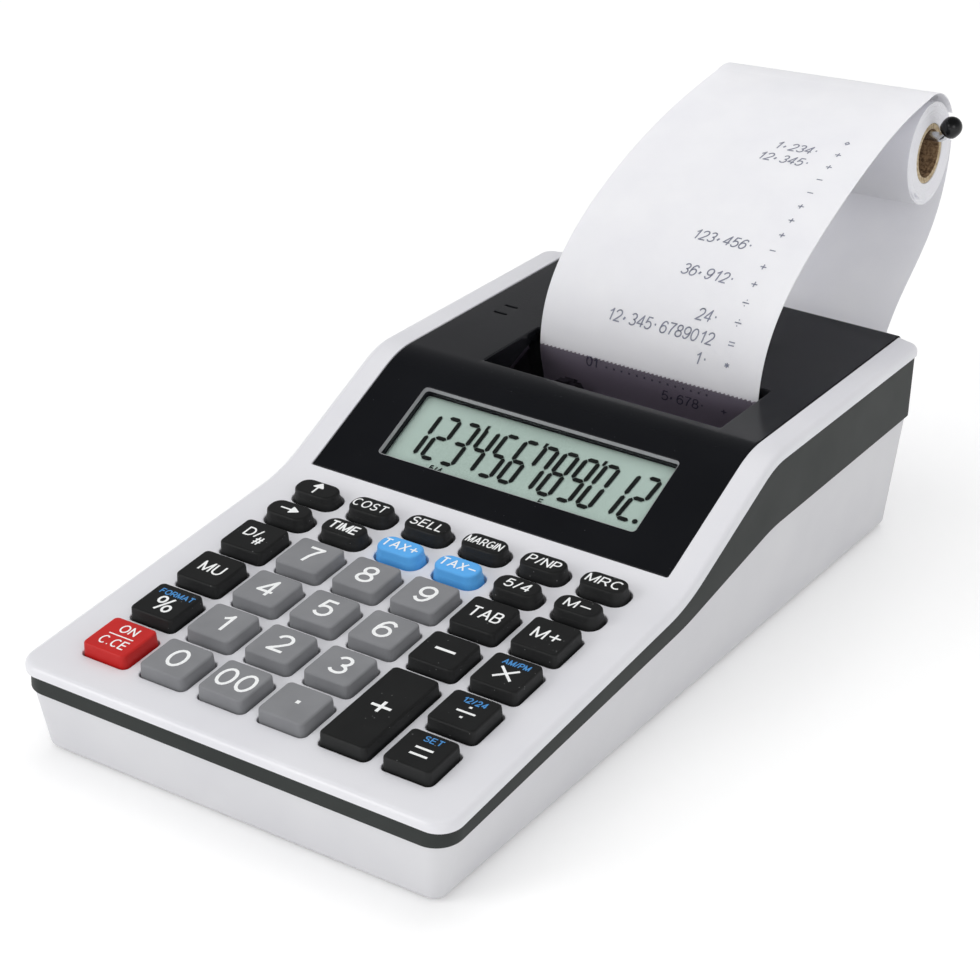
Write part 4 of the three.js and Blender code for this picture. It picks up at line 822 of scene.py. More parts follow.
def strokes_of(word, x, y, tall, wide, stroke, gap=0.26, lean=0.0, longest=20):
    """The strokes of a word, cut flat at their ends and round at their turns, centred on x."""
    outlines = []
    span = sum(signs[sign][0] for sign in word) + gap * (len(word) - 1)
    start = x - span * wide / 2
    for sign in word:
        width, strokes = signs[sign]
        for line in strokes:
            points = [Vector((start + u * wide + lean * v * tall, y + v * tall)) for u, v in line]
            looped = (points[0] - points[-1]).length < 1e-6
            whole = points[:1]
            for a, b in zip(points, points[1:]):
                parts = max(1, math.ceil((b - a).length / longest))
                whole += [a.lerp(b, (k + 1) / parts) for k in range(parts)]
            last = len(whole) - 2
            for i, (a, b) in enumerate(zip(whole, whole[1:])):
                turn = math.atan2(b.y - a.y, b.x - a.x)
                outline = []
                for end, side, outer in ((b, -1, i == last), (a, 1, i == 0)):
                    for k in (0, 6) if outer and not looped else range(7):
                        angle = turn + side * math.pi / 2 + k * math.pi / 6
                        outline.append((end.x + stroke / 2 * math.cos(angle),
                                        end.y + stroke / 2 * math.sin(angle)))
                outlines.append(outline)
        start += (width + gap) * wide
    return outlines


def ink(outlines, place, thick):
    """Outlines, merged where they overlap, as one thin closed layer of print."""
    points, rings = [], []
    for outline in outlines:
        rings.append(list(range(len(points), len(points) + len(outline))))
        points += [Vector(p) for p in outline]
    flat, _, faces, _, _, origins = delaunay_2d_cdt(points, [], rings, 0, 1e-5)
    faces = [tuple(face) for face, origin in zip(faces, origins) if len(origin)]
    count = len(flat)
    layer = [place(p.x, p.y, -thick) for p in flat] + [place(p.x, p.y, 0) for p in flat]
    edges = dict.fromkeys(edge for face in faces for edge in zip(face, face[1:] + face[:1]))
    rim = [(a, b) for a, b in edges if (b, a) not in edges]
    skin = faces + [tuple(i + count for i in reversed(face)) for face in faces]
    skin += [(b, a, a + count, b + count) for a, b in rim]
    return layer, skin


def printed(name, light, dark):
    """Screen ink: matte and opaque, a little thin in places."""
    material, tree, place = new_material(name)
    thin = add_node(tree, "ShaderNodeTexNoise", {"Vector": place, "Scale": 1500, "Detail": 3})
    tone = add_node(tree, "ShaderNodeValToRGB", {"Fac": thin}, [(0.25, dark), (0.6, light)])
    skin = {"Base Color": tone, "Roughness": 0.55, "IOR": 1.5}
    shader = add_node(tree, "ShaderNodeBsdfPrincipled", skin)
    add_node(tree, "ShaderNodeOutputMaterial", {"Surface": shader})
    return material


# White and sky-blue screen ink: flat and opaque against the rubber
white_ink = printed("white_screen_ink", "#F4F5F5", "#E9EBEB")
blue_ink = printed("blue_screen_ink", "#4792D4", "#3E86C8")
# The screen lay a little to the right of the square keys. Each legend: word, middle across, foot
# along, letter height, letter width, stroke
legend_shift = 0.3
print_sunk, print_thick = 0.01, 0.04
white_legends = {key: [(key, 0, -2.6, 5.2, 5.7, 0.72)] for key in "0123456789"}
white_legends |= {
    "00": [("00", 0, -2.6, 5.2, 5.4, 0.7)],
    "point": [(".", 0, -0.1, 8.5, 8.5, 0.95)],
    "on_clear": [
        ("ON", 0.1, 1.25, 2.35, 2.3, 0.34),
        ("-", 0, -1.3, 2.6, 8.4, 0.3),
        ("C.CE", 0, -3.5, 2.4, 2.2, 0.34),
    ],
    "plus": [("+", 0, -2.45, 4.9, 6.2, 0.7)],
    "equals": [("=", 0.1, -3.3, 5.4, 5.4, 0.56)],
    "percent": [("%", 0, -3.3, 4.6, 4.8, 0.55)],
    "divide": [(":", 0.3, -2.85, 4.6, 5.2, 0.52)],
    "multiply": [("x", 0, -2.75, 4.4, 5.0, 0.58)],
    "minus": [("-", 0, -2.3, 4.6, 6.4, 0.7)],
    "markup": [("MU", 0, -1.6, 3.2, 3.2, 0.44)],
    "date": [("D/", -1.2, -0.4, 2.8, 2.8, 0.42), ("#", 1.6, -2.7, 2.8, 2.8, 0.38)],
    "tab": [("TAB", 0, -1.6, 3.3, 2.8, 0.43)],
    "memory_plus": [("M+", 0, -1.6, 3.3, 3.5, 0.42)],
    "memory_minus": [("M-", 0, -1.3, 2.6, 3.3, 0.38)],
    "memory_recall": [("MRC", 0.1, -1.25, 2.6, 3.0, 0.37)],
    "right": [(">", 0, -2.2, 4.4, 4.4, 0.42)],
    "up": [("^", 0, -2.0, 4.0, 4.6, 0.42)],
    "time": [("TIME", 0, -1.3, 2.6, 2.5, 0.46)],
    "tax_plus": [("TAX+", 0, -1.25, 2.5, 2.4, 0.36)],
    "tax_minus": [("TAX-", 0, -1.25, 2.5, 2.4, 0.36)],
    "round": [("5/4", 0.15, -1.3, 2.6, 2.8, 0.38)],
    "cost": [("COST", -0.35, -1.25, 2.5, 2.3, 0.34)],
    "sell": [("SELL", 0, -1.25, 2.6, 2.6, 0.36)],
    "margin": [("MARGIN", 0, -1.2, 2.4, 1.72, 0.31)],
    "print": [("P/NP", 0.1, -1.25, 2.6, 2.5, 0.36)],
}
blue_legends = {
    "equals": [("SET", 0.3, 2.55, 1.5, 1.65, 0.24)],
    "percent": [("FORMAT", 0.25, 2.0, 1.5, 1.5, 0.26)],
    "divide": [("12/24", 0.2, 2.2, 1.5, 1.45, 0.26)],
    "multiply": [("AM/PM", 0.2, 2.2, 1.5, 1.4, 0.26)],
}
for legends, material, slot, ending in (
    (white_legends, white_ink, "legend_white", "_legend"),
    (blue_legends, blue_ink, "legend_blue", "_second_legend"),
):
    for key, words in legends.items():
        x, s, deep, small = keys[key]
        rise = (small_rise if small else square_rise) - print_sunk
        shift = 0 if small else legend_shift
        outlines = []
        for word, across, foot, *sizes in words:
            outlines += strokes_of(word, x + shift + across, s + foot, *sizes)
        layer = ink(outlines, lambda u, v, d, r=rise: on_keyboard(u, v, r - d), print_thick)
        legend = piece("cap_" + key + ending, [layer], [material])
        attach(legend, "key_" + key)

# Display panel
# One bent plate of black ABS, polished in the mould to a high gloss, that drops between the cover's
# arms. Its back edge turns down over the case, and the printer's well opens in its deck.

# Polished ABS: near black, mirror smooth, with a trace of dust and of wiping
gloss_abs, tree, place = new_material("polished_black_abs")
film = add_node(tree, "ShaderNodeTexNoise", {"Vector": place, "Scale": 60, "Detail": 5})
tone = add_node(tree, "ShaderNodeValToRGB", {"Fac": film}, [(0.3, "#141518"), (0.7, "#17181B")])
dust = add_node(tree, "ShaderNodeTexVoronoi", {"Vector": place, "Scale": 480, "Randomness": 1.0})
fleck = add_node(tree, "ShaderNodeMath", {0: dust, 1: 0.035}, operation="LESS_THAN")
flecked = {"Factor": fleck, colour_a: tone, colour_b: linear("#55565A")}
colour = add_node(tree, "ShaderNodeMix", flecked, data_type="RGBA").outputs[colour_out]
wiped = add_node(tree, "ShaderNodeMapRange", {"Value": film, "To Min": 0.1, "To Max": 0.2})
bump = add_node(tree, "ShaderNodeBump", {"Height": film, "Strength": 0.1, "Distance": 0.0002})
skin = {"Base Color": colour, "Roughness": wiped, "IOR": 1.5, "Specular IOR Level": 0.18}
skin["Normal"] = bump
shader = add_node(tree, "ShaderNodeBsdfPrincipled", skin)
add_node(tree, "ShaderNodeOutputMaterial", {"Surface": shader})

panel_thick = 1.5
panel_line = side_line(lowered(top_knots, 0.1), top_blends)
panel_back = case_depth + 2.2
hem_radius, hem_drop = 1.6, 5
rear_y = panel_back - hem_radius
panel_points = sampled(panel_line, panel_front, rear_y)
rear_z = panel_points[-1][1]
panel_points += [
    (rear_y + hem_radius * math.sin(t), rear_z - hem_radius * (1 - math.cos(t)))
    for t in quarter(12)[1:]
]
panel_points.append((panel_back, panel_line(panel_back) - hem_drop))
on_panel, panel_reach = walk(panel_points)
panel_end = sum(math.dist(a, b) for a, b in zip(panel_points, panel_points[1:]))
display_tilt = math.atan2(brow_height - knee_height, brow - knee)
display_along = 18.6
display_y = panel_front + display_along * math.cos(display_tilt)
display_z = panel_line(display_y)
well_half, well_front, well_back = 30.2, 128.7, 158.0
panel_outline = rounded(
    [
        (-panel_half, 0, 0.6, 0.25),
        (panel_half, 0, 0.6, 0.25),
        (panel_half, panel_end, 0.8, 0.3),
        (-panel_half, panel_end, 0.8, 0.3),
    ]
)
hem_start = panel_reach(rear_y)
panel_stops = [panel_reach(116 + 0.5 * i) for i in range(26)]
panel_stops += [hem_start + 0.21 * i for i in range(13)]
panel_outline = stepped(panel_outline, panel_stops)
display_hole = rectangle(0, panel_reach(display_y), 32.52, 10.42, 1.0, 0.15, hole=True)
lip_back = 152.2
well_low, well_high = panel_reach(well_front), panel_reach(lip_back)
well_middle, well_deep = (well_low + well_high) / 2, (well_high - well_low) / 2
well_hole = rectangle(strip_middle, well_middle, well_half, well_deep, 0.5, 0.35, hole=True)
deck_slots = [
    rectangle(-37.6, panel_reach(y), 1.8, 0.45, 0.4, 0.12, hole=True, steps=4) for y in (154.2, 159.0)
]
panel_grid = [(x * 4.4, stop) for stop in panel_stops for x in range(-10, 11)]
# The well's walls, a closed sleeve: outside low, outside high, inside high, inside low
sleeve_middle, sleeve_deep = (well_front + well_back) / 2, (well_back - well_front) / 2
well_thick, well_floor, well_top = 1.4, 33.0, 45.2
well_walls = []
for out, height in ((well_thick, well_floor), (well_thick, well_top), (0, well_top), (0, well_floor)):
    loop = rectangle(strip_middle, sleeve_middle, well_half + out, sleeve_deep + out, 0.5 + out / 2, 0)
    well_walls.append([(u, v, height) for u, v, _ in loop])
display_panel = piece(
    "polished_panel",
    [
        slab(panel_outline, [display_hole, well_hole] + deck_slots, on_panel, panel_thick, panel_grid),
        loft(well_walls, closed=True),
    ],
    [gloss_abs],
)
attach(display_panel, "case")
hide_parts("display_fascia")


# Display
# A satin silver-grey ABS frame lines the window; the lower part of its wall is black, painted shade for
# the shadow gap at its foot.
# Under it lies a liquid crystal cell: clear glass with dark digits in it over a grey-green reflector.
def on_display(x, t, drop):
    """A place in the display: across, up its face from its middle, and down into it."""
    y = display_y + t * math.cos(display_tilt) + drop * math.sin(display_tilt)
    return x, y, display_z + t * math.sin(display_tilt) - drop * math.cos(display_tilt)


# Satin ABS: silver grey with a soft sheen
bezel_abs = moulded("silver_grey_abs", "#A8A9AB", "#9C9DA0", 0.28, grain=0.5, depth=0.002, coat=0.3)
# Each ring of the frame: half width, half height, corner radius and how deep it lies
bezel_profile = [
    (32.48, 10.38, 1.0, 2.0),
    (32.48, 10.38, 1.0, 0.16),
    (32.4, 10.3, 0.9, 0.12),
    (32.2, 10.1, 0.9, 1.05),
    (32.05, 9.95, 0.85, 1.1),
    (31.95, 9.85, 0.8, 1.9),
    (31.72, 9.62, 0.7, 1.96),
]
# The skin after these rings is painted shade: polished black standing for the shadow gap at the frame's
# foot
painted_shade_rings = (3, 4, 5, 6)
bezel_rings = []
for half_u, half_v, radius, drop in bezel_profile:
    loop = rectangle(0, 0, half_u, half_v, radius, 0)
    bezel_rings.append([on_display(u, v, drop) for u, v, _ in loop])
display_bezel = piece(
    "display_frame", [loft(bezel_rings, closed=True)], [bezel_abs, gloss_abs], sharp=40
)
# The frame's lower wall takes the polished black as painted shade
for face in display_bezel.data.polygons:
    face.material_index = 1 if face.index // len(loop) in painted_shade_rings else 0
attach(display_bezel, "case")
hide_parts("lcd_bezel")

# Reflector: grey-green pearl, matt, with a fine and a broad unevenness
reflector, tree, place = new_material("crystal_reflector")
pearl = add_node(tree, "ShaderNodeTexNoise", {"Vector": place, "Scale": 2400, "Detail": 3})
broad = add_node(tree, "ShaderNodeTexNoise", {"Vector": place, "Scale": 30, "Detail": 1})
both = add_node(tree, "ShaderNodeMath", {0: pearl, 1: broad}, operation="ADD")
tone = add_node(tree, "ShaderNodeValToRGB", {"Fac": both}, [(0.7, "#B1BFB9"), (1.0, "#BCC9C4")])
skin = {"Base Color": tone, "Roughness": 0.5, "IOR": 1.5}
shader = add_node(tree, "ShaderNodeBsdfPrincipled", skin)
add_node(tree, "ShaderNodeOutputMaterial", {"Surface": shader})
cell_loop = rectangle(0, 0, 35, 11.5, 0.4, 0.1)
glass_drop, digit_drop, reflector_drop = 2.0, 2.4, 2.55
reflector_plate = slab(cell_loop, [], lambda u, v, d: on_display(u, v, reflector_drop + d), 1.2)
crystal_back = piece("crystal_reflector_plate", [reflector_plate], [reflector])
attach(crystal_back, "case")
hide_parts("lcd_glass")


def see_through(name, tint, rough, ior):
    """A clear sheet: it tints what lies behind it and reflects more at low angles."""
    material, tree, place = new_material(name)
    smears = add_node(tree, "ShaderNodeTexNoise", {"Vector": place, "Scale": 55, "Detail": 4})
    limits = {"To Min": rough, "To Max": rough + 0.08}
    haze = add_node(tree, "ShaderNodeMapRange", {"Value": smears, **limits})
    through = add_node(tree, "ShaderNodeBsdfTransparent", {"Color": linear(tint)})
    shine = add_node(tree, "ShaderNodeBsdfGlossy", {"Color": (1, 1, 1, 1), "Roughness": haze})
    angle = add_node(tree, "ShaderNodeFresnel", {"IOR": ior})
    mixed = add_node(tree, "ShaderNodeMixShader", {0: angle, 1: through, 2: shine})
    add_node(tree, "ShaderNodeOutputMaterial", {"Surface": mixed})
    return material


# Cell glass: clear, a touch green
cell_glass = see_through("clear_cell_glass", "#FBFDFC", 0.04, 1.12)
glass_plate = slab(cell_loop, [], lambda u, v, d: on_display(u, v, glass_drop + d), 0.5)
clear_sheet = piece("crystal_glass", [glass_plate], [cell_glass])
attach(clear_sheet, "case")

# Crystal dye: almost black, flat, as the lit bars look
segment_dye = printed("crystal_dye", "#121514", "#0C0F0E")
digit_wide, digit_tall, digit_foot = 3.05, 12.05, -6.4
bar_thick, bar_gap = 1.05, 0.14
segment_ends = {
    "a": ((0, 1), (1, 1)),
    "b": ((1, 1), (1, 0.5)),
    "c": ((1, 0.5), (1, 0)),
    "d": ((0, 0), (1, 0)),
    "e": ((0, 0.5), (0, 0)),
    "f": ((0, 1), (0, 0.5)),
    "g": ((0, 0.5), (1, 0.5)),
}
segments_lit = {
    "1": "bc", "2": "abged", "3": "abgcd", "4": "fgbc", "5": "afgcd", "6": "afgedc", "7": "fabc",
    "8": "abcdefg", "9": "abfgcd", "0": "abcdef",
}


def segment(right, name):
    """One bar of a digit as a pointed outline; the digits lean a little more to the right."""
    lean = 0.062 + 0.0018 * right
    left, top = right - digit_wide, digit_foot + digit_tall
    ends = [Vector((left + u * digit_wide, digit_foot + v * digit_tall)) for u, v in segment_ends[name]]
    along = (ends[1] - ends[0]).normalized()
    point = along * bar_thick / 2
    side = Vector((-point.y, point.x))
    a, b = ends[0] + along * bar_gap, ends[1] - along * bar_gap
    shape = [a, a + point - side, b - point - side, b, b - point + side, a + point + side]
    return [(p.x + (p.y - top) * lean, p.y) for p in shape]


first_right, digit_pitch = -25.75, 5.06
bars = []
for i, number in enumerate("123456789012"):
    bars += [segment(first_right + digit_pitch * i, name) for name in segments_lit[number]]
# Thousands marks over the digits, the point after them, and two small words under them
for x in (-14.1, 0.9, 15.7):
    bars.append([(x - 0.2, 5.15), (x + 0.4, 5.15), (x + 0.7, 6.6), (x - 0.05, 6.6)])
bars.append(circle(29.8, -6.1, 0.62, 16))
bars += strokes_of("5/4", -18.9, -9.35, 1.5, 1.5, 0.24)
bars += strokes_of("E", 7.9, -9.3, 1.5, 1.5, 0.24)
lit = [ink([bar], lambda u, v, d: on_display(u, v, digit_drop + d), print_thick) for bar in bars]
digits = piece("crystal_digits", lit, [segment_dye])
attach(digits, "case")

# Tear window
# A bent window of smoked acrylic over the printer, injection moulded, with a row of teeth along
# its upper edge that tears the strip. It lies on a shelf along each side of the well.

# Smoked acrylic: clear, a little darker and warmer than what lies behind it
smoked_acrylic = see_through("smoked_acrylic", "#D2CED4", 0.03, 1.12)
window_foot, window_crest = (130.5, 36.056), (140.3, 41.956)
tear_y, tear_z = 149.5, 44.586


def window_points(count=48):
    """The side view of the window, from its foot at the well's front to its teeth."""
    points = []
    for i in range(count + 1):
        t = i / count
        shares = (1 - t) ** 2, 2 * t * (1 - t), t * t
        bent = zip(window_foot, window_crest, (tear_y, tear_z))
        points.append(tuple(shares[0] * a + shares[1] * b + shares[2] * c for a, b, c in bent))
    return points


on_window, window_reach = walk(window_points())
window_end = window_reach(tear_y)
window_half = well_half - 0.3
tooth_count, tooth_deep, tooth_margin = 52, 0.62, 2.0
left, right = strip_middle - window_half, strip_middle + window_half
tooth_pitch = (2 * window_half - 2 * tooth_margin) / tooth_count
comb = [(left, 0, 0.2), (right, 0, 0.2), (right, window_end, 0.12)]
for i in range(tooth_count, -1, -1):
    x = left + tooth_margin + i * tooth_pitch
    comb.append((x, window_end, 0.02))
    if i:
        comb.append((x - tooth_pitch / 2, window_end - tooth_deep, 0.02))
comb.append((left, window_end, 0.12))
window_stops = [window_end * i / 24 for i in range(1, 23)]
comb = stepped(comb, window_stops)
window_grid = [(strip_middle + x * 4.2, stop) for stop in window_stops for x in range(-7, 8)]
window_sheet = slab(comb, [], on_window, 1.2, window_grid, steps=2)
tear_window = piece("smoked_tear_window", [window_sheet], [smoked_acrylic])
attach(tear_window, "case")
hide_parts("tear_window")

# Paper
# A roll of white bond paper on a brown card tube. The strip runs from the roll down behind the
# case, in at the slot, round the platen, up past the teeth and back over the roll, curling a bit.

# Bond paper: matt bright white that glows faintly, with fibres 0.7 mm apart
bond_paper, tree, place = new_material("white_bond_paper")
fibre = add_node(
    tree, "ShaderNodeTexNoise", {"Vector": place, "Scale": 1400, "Detail": 5, "Distortion": 0.8}
)
cloudy = add_node(tree, "ShaderNodeTexNoise", {"Vector": place, "Scale": 70, "Detail": 3})
bump = add_node(tree, "ShaderNodeBump", {"Height": fibre, "Strength": 0.35, "Distance": 0.00003})
tone = add_node(tree, "ShaderNodeValToRGB", {"Fac": cloudy}, [(0.3, "#EAEAF0"), (0.7, "#EFEFF4")])
shader = add_node(
    tree,
    "ShaderNodeBsdfPrincipled",
    {
        "Base Color": tone,
        "Roughness": 0.85,
        "Subsurface Weight": 0.7,
        "Subsurface Radius": (1, 1, 1),
        "Subsurface Scale": 0.0006,
        "IOR": 1.45,
        "Specular IOR Level": 0.3,
        "Normal": bump,
    },
)
add_node(tree, "ShaderNodeOutputMaterial", {"Surface": shader})

roll_y, roll_z = 233.7, 78.62
roll_radius, core_radius, core_wall = 12.45, 7.25, 1.35
tilt = math.radians(2.3)
platen = Vector((159.6, 31.186))
roll_centre = Vector((roll_y, roll_z))
half_strip, paper_gap = 0.12, 0.3
platen_radius = 6.0
wrap = platen_radius + paper_gap + half_strip


def heading(angle, length):
    """A step of a length at an angle, seen from the side."""
    return Vector((length * math.cos(angle), length * math.sin(angle)))


def bezier(start, leaving, arriving, end):
    """A smooth stretch between two places, with the way it leaves and arrives."""
    handles = [start, start + leaving, end - arriving, end]

    def point(t):
        weights = ((1 - t) ** 3, 3 * t * (1 - t) ** 2, 3 * t * t * (1 - t), t**3)
        return sum((h * w for h, w in zip(handles, weights)), Vector((0, 0)))

    return point


up = math.pi / 2
slot_place = Vector((case_depth, slot_height))
to_platen = platen - slot_place
slot_heading = math.atan2(to_platen.y, to_platen.x) + math.asin(wrap / to_platen.length)
feed_heading = math.radians(54) + math.pi
feed_start = roll_centre + heading(0, roll_radius + paper_gap + half_strip)
feed_middle = Vector((219.6, 38.4))
wrap_start = platen + heading(slot_heading + up, wrap)
wrap_turn = (slot_heading + up) % (2 * math.pi) - math.pi
over_angle, end_angle = math.radians(106), math.radians(33)
over_radius, end_radius = roll_radius + 1.9, roll_radius + 1.1
over_start = roll_centre + heading(over_angle, over_radius)
strip_end = roll_centre + heading(end_angle, end_radius)
share = 4 / 3 * math.tan((over_angle - end_angle) / 4)
strip_edge = Vector((tear_y + 0.7 + half_strip, tear_z))
# Each stretch: its curve, the lengths in it setting how far it keeps straight at each end, then how
# many steps it takes and how far it leans with the roll at each end
stretches = [
    (bezier(feed_start, heading(-up, 24.9), heading(feed_heading, 17), feed_middle), 40, 1, 0.4),
    (bezier(feed_middle, heading(feed_heading, 17), heading(slot_heading, 16), slot_place), 30, 0.4, 0),
    (lambda t: slot_place.lerp(wrap_start, t), 10, 0, 0),
    (lambda t: platen + heading(math.pi + wrap_turn * (1 - t), wrap), 30, 0, 0),
    (bezier(platen + heading(math.pi, wrap), heading(up, 5), heading(up, 5), strip_edge), 24, 0, 0),
    (bezier(strip_edge, heading(up, 20.6), heading(over_angle - up, 61.5), over_start), 90, 0, 1.6),
    (
        bezier(
            over_start,
            heading(over_angle - up, share * over_radius),
            heading(end_angle - up, share * end_radius),
            strip_end,
        ),
        36,
        1.6,
        1,
    ),
]
sections = [(feed_start, stretches[0][2])]
for point, steps, lean_from, lean_to in stretches:
    shares = [i / steps for i in range(1, steps + 1)]
    sections += [(point(t), lean_from + (lean_to - lean_from) * t) for t in shares]
edge_index = sum(steps for _, steps, *_ in stretches[:5])
over_index = edge_index + stretches[5][1]
on_path, _ = walk([tuple(p) for p, _ in sections])
strip_reach = [0.0]
for (a, _), (b, _) in zip(sections, sections[1:]):
    strip_reach.append(strip_reach[-1] + (b - a).length)
edge_reach, over_reach = strip_reach[edge_index], strip_reach[over_index]
half_width = strip_width / 2
left_swell, right_swell = 2.7, 2.1


def on_strip(x, s, lift):
    """A place on the strip: across from its middle, along it, and out from its middle layer.

    Past the teeth it swells outward, on its left from further down.
    """
    risen = min(max((s - edge_reach) / (over_reach - edge_reach), 0), 1)
    leftward = (half_width - x) / (2 * half_width)
    lift += left_swell * math.sin(math.pi * risen**1.35) * leftward
    lift += right_swell * math.sin(math.pi * risen**2.5) * (1 - leftward)
    i = min(max(bisect(strip_reach, s) - 1, 0), len(sections) - 2)
    part = (s - strip_reach[i]) / (strip_reach[i + 1] - strip_reach[i])
    lean = sections[i][1] + (sections[i + 1][1] - sections[i][1]) * part
    _, y, z = on_path(x, s, -lift)
    return strip_middle + x, y, z + math.tan(tilt) * lean * x


strip_rings = []
across = [half_width * k / 4 for k in range(-4, 5)]
for s in strip_reach:
    ring = [on_strip(x, s, half_strip) for x in across]
    ring += [on_strip(x, s, -half_strip) for x in reversed(across)]
    strip_rings.append(ring)
# The stretch from the roll to inside the slot is a piece of its own
inside_case = 75
strip = piece("paper_strip", [loft(strip_rings[inside_case:])], [bond_paper], sharp=50)
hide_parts("paper_tape")
fold_low, fold_high = at(0, hinge_y, 45), at(0, hinge_y, 78)
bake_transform(strip)
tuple(fold_low)
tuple(fold_high)
feed = piece("paper_feed", [loft(strip_rings[: inside_case + 1])], [bond_paper], sharp=50)
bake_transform(feed)

# Print: a fine slanted type in blue-grey ink, numbers right-aligned and signs at the right
strip_ink = printed("ribbon_print", "#8C8FA0", "#7C8092")
line_pitch, first_line = 4.75, 4.6
lines = {
    0: ("1.", "*"), 1: ("12,345.6789012", "="), 2: ("24.", ":"), 3: ("", ":"), 4: ("36,912.", "+"),
    5: ("", "+"), 6: ("123,456.", "-"), 7: ("", "+"), 8: ("", "+"), 9: ("", "+"), 10: ("", "-"),
    11: ("", "-"), 12: ("12,345.", "+"), 13: ("1,234.", "+"), 14: ("", "o"), -2: ("5,678.", "+"),
}
number_end, sign_middle, figure_pitch = 15.1, 19.6, 1.96
marks = []
for line, (number, sign) in lines.items():
    foot = edge_reach + first_line + line * line_pitch - (1.9 if line < 0 else 0)
    for k, character in enumerate(reversed(number)):
        middle = number_end - figure_pitch * (k + 0.5)
        raised, size = (1.2, (3.6, 3.6, 0.44)) if character in ".," else (0, (2.65, 2.5, 0.3))
        marks += strokes_of(character, middle, foot + raised, *size, lean=0.2, longest=0.6)
    marks += strokes_of(sign, sign_middle, foot + 0.4, 1.9, 2.0, 0.26, lean=0.1, longest=0.6)
# Under the window: a printed count and a row of dots
count_foot = edge_reach + first_line - line_pitch
marks += strokes_of("01", -14.5, count_foot - 2.8, 2.4, 2.2, 0.36, lean=0.1, longest=0.6)
for k in range(14):
    marks += strokes_of(".", -10.5 + 2.0 * k, count_foot - 2.2, 4.5, 4.5, 0.5)
layers = [ink([mark], lambda u, v, d: on_strip(u, v, half_strip - d), 0.045) for mark in marks]
strip_print = piece("strip_print", layers, [strip_ink])
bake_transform(strip_print)
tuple(fold_low)
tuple(fold_high)


def on_roll(x, radius, angle):
    """A place on the roll, which tilts with its bar."""
    out, up_from = radius * math.cos(angle), radius * math.sin(angle)
    along = x * math.cos(tilt) - up_from * math.sin(tilt)
    return strip_middle + along, roll_y + out, roll_z + x * math.sin(tilt) + up_from * math.cos(tilt)


# Layers that slipped in at the low front of each end: radius, middle angle and half spread
slipped_layers = [(11.9, 3.93, 0.34), (11.1, 4.12, 0.2)]
slip_depth = 0.9


def on_loose_roll(x, radius, angle):
    """The same with the slipped layers."""
    depth = 0
    for layer, middle, spread in slipped_layers:
        near = 1 - abs(radius - layer) / 0.25
        off = angle - middle
        if near > 0 and abs(off) < spread:
            depth = max(depth, slip_depth * min(1, 3 * near) * math.cos(off / spread * math.pi / 2))
    inward_by = min(depth, abs(x)) if abs(x) > 20 else 0
    return on_roll(x - math.copysign(inward_by, x), radius, angle)


def turned(profile, spot, count=96):
    """A closed ring shell: a closed profile of (along, radius) turned about an axis."""
    turns = [k / count * 2 * math.pi for k in range(count)]
    return loft([[spot(x, radius, t) for x, radius in profile] for t in turns], closed=True)


# Roll: its ends show the edges of the layers, wound a little unevenly
rolls = random.Random(7)
layer_radii = [core_radius + 0.1 + 0.2 * k for k in range(25)]
end_face = [rolls.uniform(-0.16, 0.0) for _ in layer_radii]
profile = [(half_width + face, radius) for radius, face in zip(layer_radii, end_face)]
profile += [(half_width - 0.05, roll_radius - 0.06), (half_width - 0.12, roll_radius)]
profile += [(-half_width + 0.12, roll_radius), (-half_width + 0.05, roll_radius - 0.06)]
profile += [(-half_width - face, radius) for radius, face in zip(layer_radii[::-1], end_face)]
paper_roll = piece("wound_paper", [turned(profile, on_loose_roll, 144)], [bond_paper], sharp=30)
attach(paper_roll, "paper_roll")
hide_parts("paper_roll")


def card(name, dark, light):
    """Pressed grey-brown pulp with specks 0.8 mm wide."""
    material, tree, place = new_material(name)
    pulp = add_node(tree, "ShaderNodeTexNoise", {"Vector": place, "Scale": 1300, "Detail": 6})
    tone = add_node(tree, "ShaderNodeValToRGB", {"Fac": pulp}, [(0.35, dark), (0.65, light)])
    bump = add_node(tree, "ShaderNodeBump", {"Height": pulp, "Strength": 0.8, "Distance": 0.0001})
    skin = {"Base Color": tone, "Roughness": 0.9, "Normal": bump}
    shader = add_node(tree, "ShaderNodeBsdfPrincipled", skin)
    add_node(tree, "ShaderNodeOutputMaterial", {"Surface": shader})
    return material


# Core, wound from card. Its bore: brown and speckled. Its cut ends: paler, where the layers open
bore_card = card("brown_core_card", "#5B4430", "#A88A68")
cut_card = card("cut_core_card", "#A48E6E", "#D2C1A2")
core_half = half_width - 0.2
bore = core_radius - core_wall
core_profile = [
    (core_half - 0.1, bore),
    (core_half, bore + 0.12),
    (core_half, core_radius - 0.12),
    (core_half - 0.1, core_radius),
]
core_profile += [(-x, radius) for x, radius in reversed(core_profile)]
# The skin beside these corners of the profile is cut card
cut_corners = (0, 1, 2, 4, 5, 6)
paper_core = piece("card_core", [turned(core_profile, on_roll)], [bore_card, cut_card], sharp=50)
for face in paper_core.data.polygons:
    face.material_index = 1 if face.index % len(core_profile) in cut_corners else 0
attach(paper_core, "paper_roll")
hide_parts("paper_core")

# Paper arm
# A bright drawn steel wire, bent to a crank: a pin in the ear behind the case, an upright that
# leans back, a bar through the card tube and a short end. A dipped black vinyl cap covers the end.

# Drawn wire: bright, with sharp narrow highlights along it
wire_steel = metal("bright_drawn_wire", "#D2D3D6", "#B4B6BA", 0.2, (0.25, 1, 1), line=0.2)
wire_radius = 1.2
upright_x = -28.6
bar_rise = bore - wire_radius - 0.3
end_x = strip_middle + half_width + 2.6


def bar_height(x):
    """The height of the bar, which rises to the right."""
    return roll_z + bar_rise + math.tan(tilt) * (x - strip_middle)


